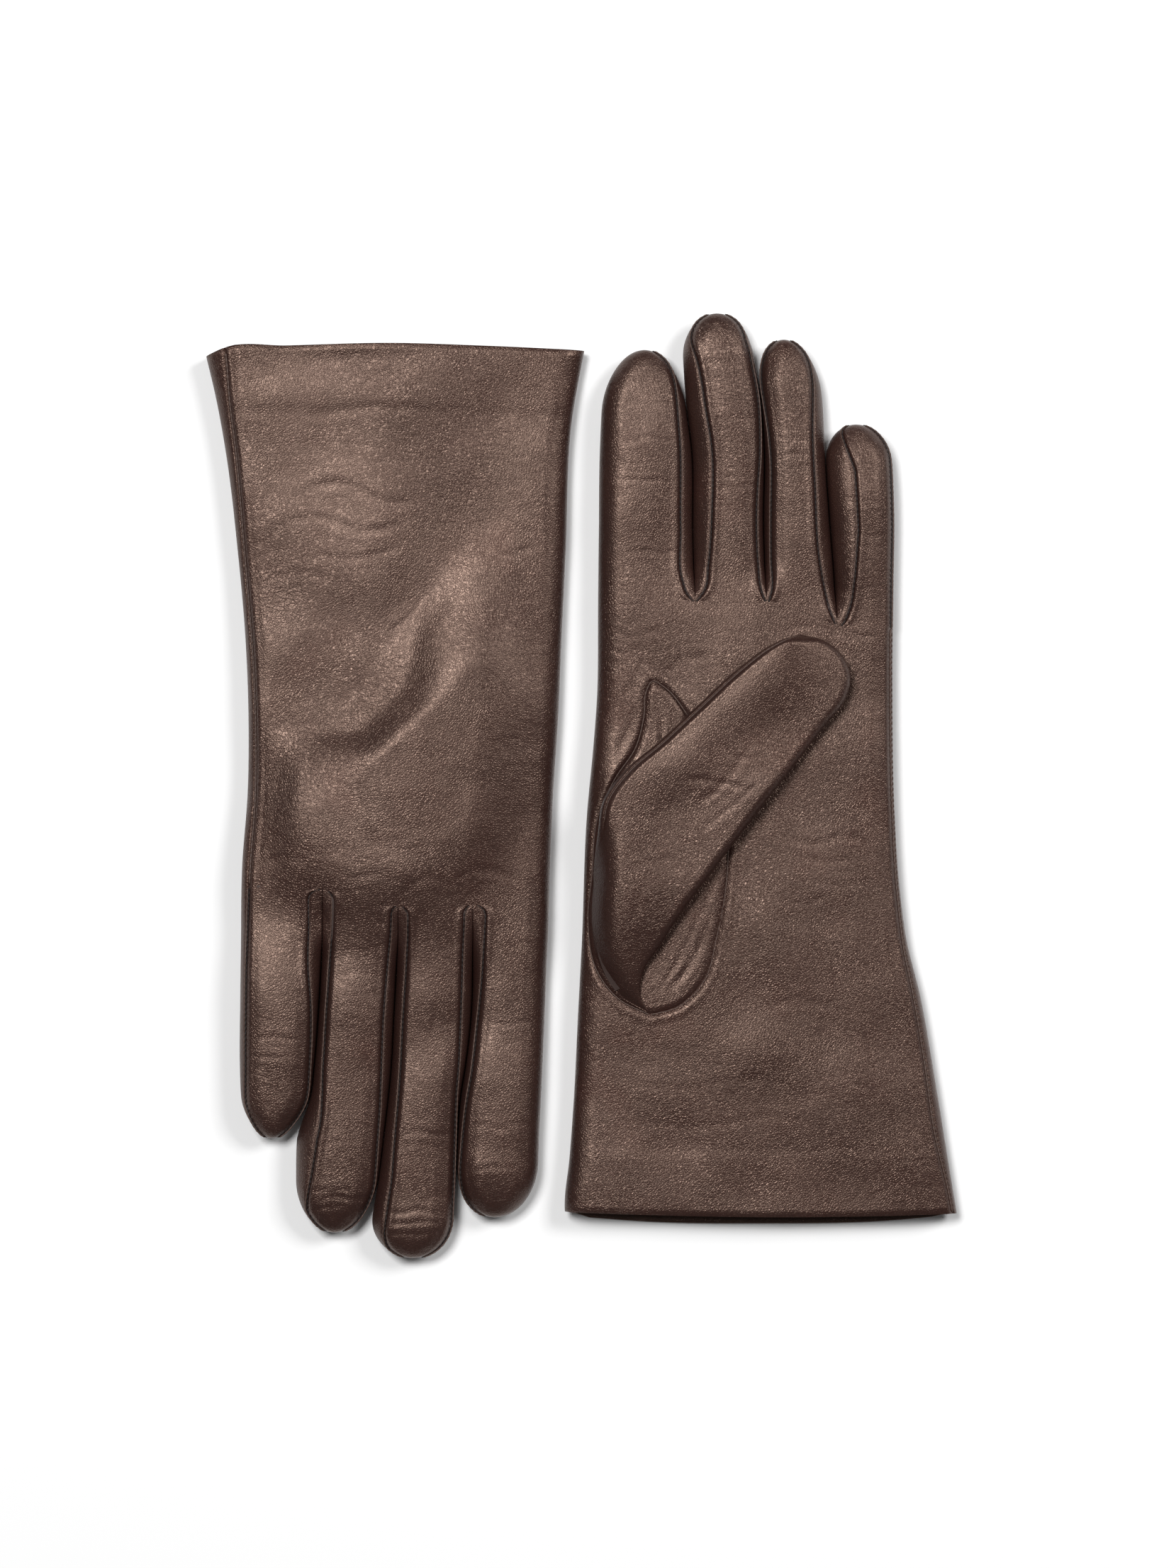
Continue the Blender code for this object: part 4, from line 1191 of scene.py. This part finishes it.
def left_thumb_grid(glove):
    """Rows across the folded thumb from the bottom of its opening to its tip."""
    rows = 190
    columns = columns_of(*LEFT_THUMB_PARTS)
    left = rounded(THUMB_LEFT_EDGE, 400)
    right = rounded(THUMB_RIGHT_EDGE, 400)
    place = np.linspace(0.0, 1.0, rows)
    end_rows = 0.5 - 0.5 * np.cos(np.pi * place)
    place = 0.35 * end_rows + 0.65 * place
    reach = np.linspace(0.0, 1.0, 400)
    one = np.stack([np.interp(place, reach, left[:, axis]) for axis in (0, 1)], axis=1)[:, None, :]
    two = np.stack([np.interp(place, reach, right[:, axis]) for axis in (0, 1)], axis=1)[:, None, :]
    width = np.linalg.norm(two - one, axis=2)
    half_width = 0.5 * width
    part = columns[:, 0][None, :]
    seam_a = np.minimum(1.5, 0.3 * width)
    corner = np.minimum(4.6, 0.46 * width)
    corner_b = np.minimum(2.9, 0.46 * width)
    tip = ease(0.0, 0.055, 1.0 - place)[:, None]
    root = ease(0.0, 0.34, place)[:, None]
    low = THUMB_LOW + 0.0 * width
    rise = (2.4 + 5.0 * root) * np.sqrt(np.clip(tip, 0.0, 1.0)) * arc(half_width / 9.0)
    zero = np.zeros(width.shape)

    def base(across):
        part_across = np.clip(across / np.maximum(width, 1e-6), 0.0, 1.0)
        crown = 0.6 * (1.0 - (2.0 * part_across - 1.0) ** 2)
        lean = 0.9 * (0.5 - part_across) * root
        roll = 0.5 * np.sin(2.0 * np.pi * part_across) * root
        return low + rise + (crown + lean + roll) * tip

    across, z = section(columns, zero, width, corner, corner_b, seam_a, corner_b, low,
                        0.5 * rise, 0.45 * rise, base)
    share = across / np.maximum(width, 1e-6)
    u = one[..., 0] + (two[..., 0] - one[..., 0]) * share
    v = one[..., 1] + (two[..., 1] - one[..., 1]) * share
    upper = (part >= 2) & (part <= 4)
    up = np.where(upper, 1.0, 0.0) * tip
    heel = (1.0 - ease(0.30, 0.46, place))[:, None]
    palm = palm_top(glove, u, v) - 0.25
    near_seam = heel * (1.0 - np.clip(across / 8.0, 0.0, 1.0)) ** 2
    z = z - np.where(upper, near_seam, 0.0) * np.maximum(z - palm - 0.3, 0.0)
    rooted = np.clip((low + 0.5 * rise - z) / np.maximum(0.5 * rise, 1e-6), 0.0, 1.0)
    rooted = np.where(upper, 0.0, rooted)
    z = z - rooted * np.maximum(low - palm, 0.0) * np.clip(1.0 - across / 12.0, 0.0, 1.0)
    side = sum(LEFT_THUMB_PARTS[:2])
    z = np.where(upper, z, np.minimum(z, np.maximum(z[:, side:side + 1], palm)))
    away = np.abs(across - seam_a)
    lift = up * seam_relief(away, across > seam_a) * ease(0.38, 0.46, place)[:, None]
    lift = lift + up * glove.relief(u + 300.0, v, z, 1.0) * 0.8
    lift = creased(lift, THUMB_CREASES, u, v, up)
    lift = lift + up * soft_step(u, v, (-27, 74), (16, 128), 1.1, 5.0)
    return np.stack([u, v, z + lift], axis=-1)


GUSSET_FOLDS = (
    (((-26.6, 155.0), (-24.4, 146.0), (-23.6, 136.0)), 0.55, 0.8),
    (((-24.0, 65.0), (-16.0, 74.0), (-9.5, 90.0)), 0.40, 1.0),
    (((-27.0, 64.0), (-20.0, 74.0), (-14.0, 86.0), (-7.5, 101.0)), 0.35, 0.8),
    (((-19.0, 68.0), (-15.0, 78.0)), 0.30, 0.7),
)


def quirk_grid(glove):
    """The leather inside the thumb's opening: a dished patch with folds that run to its points."""
    outline = rounded(HOLE, 161)[:-1]
    centre = np.array((-24.0, 104.0))
    inward = np.concatenate([np.linspace(0.0, 0.25, 14), np.linspace(0.28, 0.9995, 23)])
    grid = np.zeros((len(inward), len(outline), 3))
    spine = np.stack([centre[0] + 0.0 * outline[:, 0], np.clip(outline[:, 1], 74.0, 140.0)], axis=1)
    for row, share in enumerate(inward):
        flat = outline + (spine - outline) * share
        grid[row, :, 0], grid[row, :, 1] = flat[:, 0], flat[:, 1]
    u, v = grid[..., 0], grid[..., 1]
    away, _ = nearest_on(np.vstack([outline, outline[:1]]), u, v)
    z = palm_top(glove, u, v) - 0.15 + 0.5 * ease(0.0, 2.2, away) - 0.4 * np.exp(-(away / 0.5) ** 2)
    z = z + 0.5 * glove.relief(u + 120.0, v, z, 1.0)
    z = creased(z, GUSSET_FOLDS, u, v)
    grid[..., 2] = z
    return grid


def make_left_thumb(glove):
    grid = left_thumb_grid(glove)
    skin = add_grid("left_thumb_skin", glove, grid, True, (120, top_middle(LEFT_THUMB_PARTS), 1.0))
    bend_thumb(glove, THUMB, skin)
    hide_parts("left_thumb_stall", "left_thumb_heel")

    quirk = add_grid("left_thumb_gusset", glove, quirk_grid(glove), True, (20, 100, 1.0))
    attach(quirk, "left_hand")
    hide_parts("left_thumb_quirk")

    path = grid[84:-2, top_start(LEFT_THUMB_PARTS)].copy()
    path[:, 2] += 0.10
    seam = add_mesh("left_thumb_seam", *joined([seam_bead(glove, path, 0.2)]), material="edge")
    bend_thumb(glove, THUMB, seam)

    outline = rounded(HOLE, 200)
    flat = np.zeros((200, 3))
    flat[:, :2] = outline
    flat[:, 2] = palm_top(glove, outline[:, 0], outline[:, 1]) - 0.22
    rim = add_mesh("left_thumb_opening_seam", *joined([seam_bead(glove, flat, 0.19)]), material="edge")
    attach(rim, "left_hand")

    inner = shrunk(grid[20:-6:4, ::2], (0.9, 0.9, 0.55))
    lining = add_grid("left_thumb_inside", glove, inner, True, (15, 28, 1.0), "lining")
    bend_thumb(glove, THUMB, lining)
    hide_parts("left_thumb_lining")


def shrunk(grid, scale):
    """The same rows, each drawn in about its own middle."""
    centre = grid.mean(axis=1, keepdims=True)
    return centre + (grid - centre) * np.array(scale)


def bend_thumb(glove, thumb, item):
    angle = math.radians(thumb["angle"])
    forward = np.array((math.cos(angle), math.sin(angle)))
    root = np.array(thumb["root"])
    low = root - 3.0 * forward
    high = root + 16.0 * forward
    start, end = glove.world([(*low, 8.0), (*high, 8.0)])
    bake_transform(item)


def ring_points(columns, half_width, corner, low, high):
    """A plain flattened ring of points, at one station."""
    values = np.array([[0.0]])
    u, z = section(columns, values - half_width, values + half_width, values + corner, values + corner,
                   values + corner, values + corner, values + low, values + 0.5 * (high - low),
                   values + 0.5 * (high - low), lambda across: 0.0 * across + high)
    return u[0], z[0]


def make_right_thumb(glove):
    """The hidden thumb, folded flat between the palm and the table."""
    columns = columns_of(*RIGHT_THUMB_PARTS)
    angle = math.radians(RIGHT_THUMB["angle"])
    forward = np.array((math.cos(angle), math.sin(angle)))
    sideways = np.array((math.sin(angle), -math.cos(angle)))
    root = np.array(RIGHT_THUMB["root"])
    rows = []
    for reach in np.linspace(-26.0, 56.0, 70):
        rows.append((reach, 1.0))
    for turn in np.radians(np.linspace(4.0, 89.0, 20)):
        rows.append((56.0 + 14.0 * math.sin(turn), math.cos(turn)))
    grid = np.zeros((len(rows), len(columns), 3))
    for number, (reach, size) in enumerate(rows):
        taper = float(ease(-10.0, 56.0, reach))
        narrow = float(ease(-30.0, -4.0, reach))
        half_width = (17.0 - 2.2 * taper) * (0.25 + 0.75 * narrow) * size ** 0.9
        middle, half = 4.0, 4.0 * size ** 0.8 * (0.35 + 0.65 * narrow)
        corner = min(5.5, 0.9 * half_width)
        across, z = ring_points(columns, half_width, corner, middle - half, middle + half)
        flat = root + reach * forward + across[:, None] * sideways
        flat[:, 0] = np.maximum(flat[:, 0], glove.index_edge(flat[:, 1]) + 4.0)
        grid[number, :, :2] = flat
        grid[number, :, 2] = z + (1.0 - narrow) * 1.5
    lift = 0.35 * glove.relief(grid[..., 0] + 90.0, grid[..., 1], grid[..., 2], 1.0)
    grid[..., 2] = np.maximum(grid[..., 2] + lift * (grid[..., 2] > 2.0), 0.0)
    skin = add_grid("right_thumb_skin", glove, grid, True, (50, top_middle(RIGHT_THUMB_PARTS), 1.0))
    bend_thumb(glove, RIGHT_THUMB, skin)
    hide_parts("right_thumb_stall", "right_thumb_heel", "right_thumb_quirk")

    inner = shrunk(grid[10:-6:3, ::2], (0.88, 0.88, 0.6))
    lining = add_grid("right_thumb_inside", glove, inner, True, (15, 20, 1.0), "lining")
    bend_thumb(glove, RIGHT_THUMB, lining)
    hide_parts("right_thumb_lining")


# ---------------------------------------------------------------- stage

CAMERA_DISTANCE = 2.0
FRAMED_HEIGHT = 0.4537
SENSOR_HEIGHT_MM = 24.0
TABLE_HALF = 6.0


def make_stage():
    floor_material = bpy.data.materials.new("white_table")
    floor_material.use_nodes = True
    shader = floor_material.node_tree.nodes["Principled BSDF"]
    shader.inputs["Base Color"].default_value = (0.90, 0.90, 0.90, 1.0)
    shader.inputs["Roughness"].default_value = 0.9
    shader.inputs["Specular IOR Level"].default_value = 0.1
    mesh = bpy.data.meshes.new("table_top")
    corners = [(TABLE_HALF * x, TABLE_HALF * y, 0.0) for x, y in ((-1, -1), (1, -1), (1, 1), (-1, 1))]
    mesh.from_pydata(corners, [], [(0, 1, 2, 3)])
    mesh.materials.append(floor_material)
    table = bpy.data.objects.new("table_top", mesh)
    table.location.z = -0.0002
    bpy.context.scene.collection.objects.link(table)
    table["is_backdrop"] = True

    add_light("upper_left_softbox", (-0.66, 0.70, 2.4), (0.0, 0.02, 0.0), 0.9, 0.8, 56.0)
    add_light("side_softbox", (1.25, 0.75, 1.5), (0.0, 0.0, 0.0), 0.7, 0.7, 22.0)

    world = bpy.data.worlds.new("studio")
    world.use_nodes = True
    background = world.node_tree.nodes["Background"]
    background.inputs["Color"].default_value = (1.0, 1.0, 1.0, 1.0)
    background.inputs["Strength"].default_value = 0.10
    scene = bpy.context.scene
    scene.world = world
    scene.view_settings.view_transform = "Standard"
    scene.view_settings.look = "None"


def add_light(name, place, target, width, height, power):
    light = bpy.data.lights.new(name, "AREA")
    light.shape = "RECTANGLE"
    light.size = width
    light.size_y = height
    light.energy = power
    item = bpy.data.objects.new(name, light)
    item.location = place
    item.rotation_euler = (Vector(target) - Vector(place)).to_track_quat("-Z", "Y").to_euler()
    bpy.context.scene.collection.objects.link(item)


def make_camera():
    """Straight above the middle of the pair, with the row's +Y up."""
    low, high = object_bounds()
    camera = bpy.data.cameras.new("camera")
    camera.sensor_fit = "VERTICAL"
    camera.sensor_height = SENSOR_HEIGHT_MM
    camera.lens = SENSOR_HEIGHT_MM * CAMERA_DISTANCE / FRAMED_HEIGHT
    camera.clip_start = 0.05
    camera.clip_end = 20.0
    camera.dof.use_dof = False
    item = bpy.data.objects.new("camera", camera)
    middle = 0.5 * (low + high)
    item.location = (middle.x + 0.0019, middle.y + 0.0005, 0.010 + CAMERA_DISTANCE)
    bpy.context.scene.collection.objects.link(item)
    bpy.context.scene.camera = item


def main():
    for spec in (LEFT, RIGHT):
        glove = Glove(spec)
        make_hand(glove)
        for name in FINGERS:
            make_finger(glove, name)
        if glove.palm_up:
            make_left_thumb(glove)
        else:
            make_right_thumb(glove)
    make_stage()
    make_camera()


main()
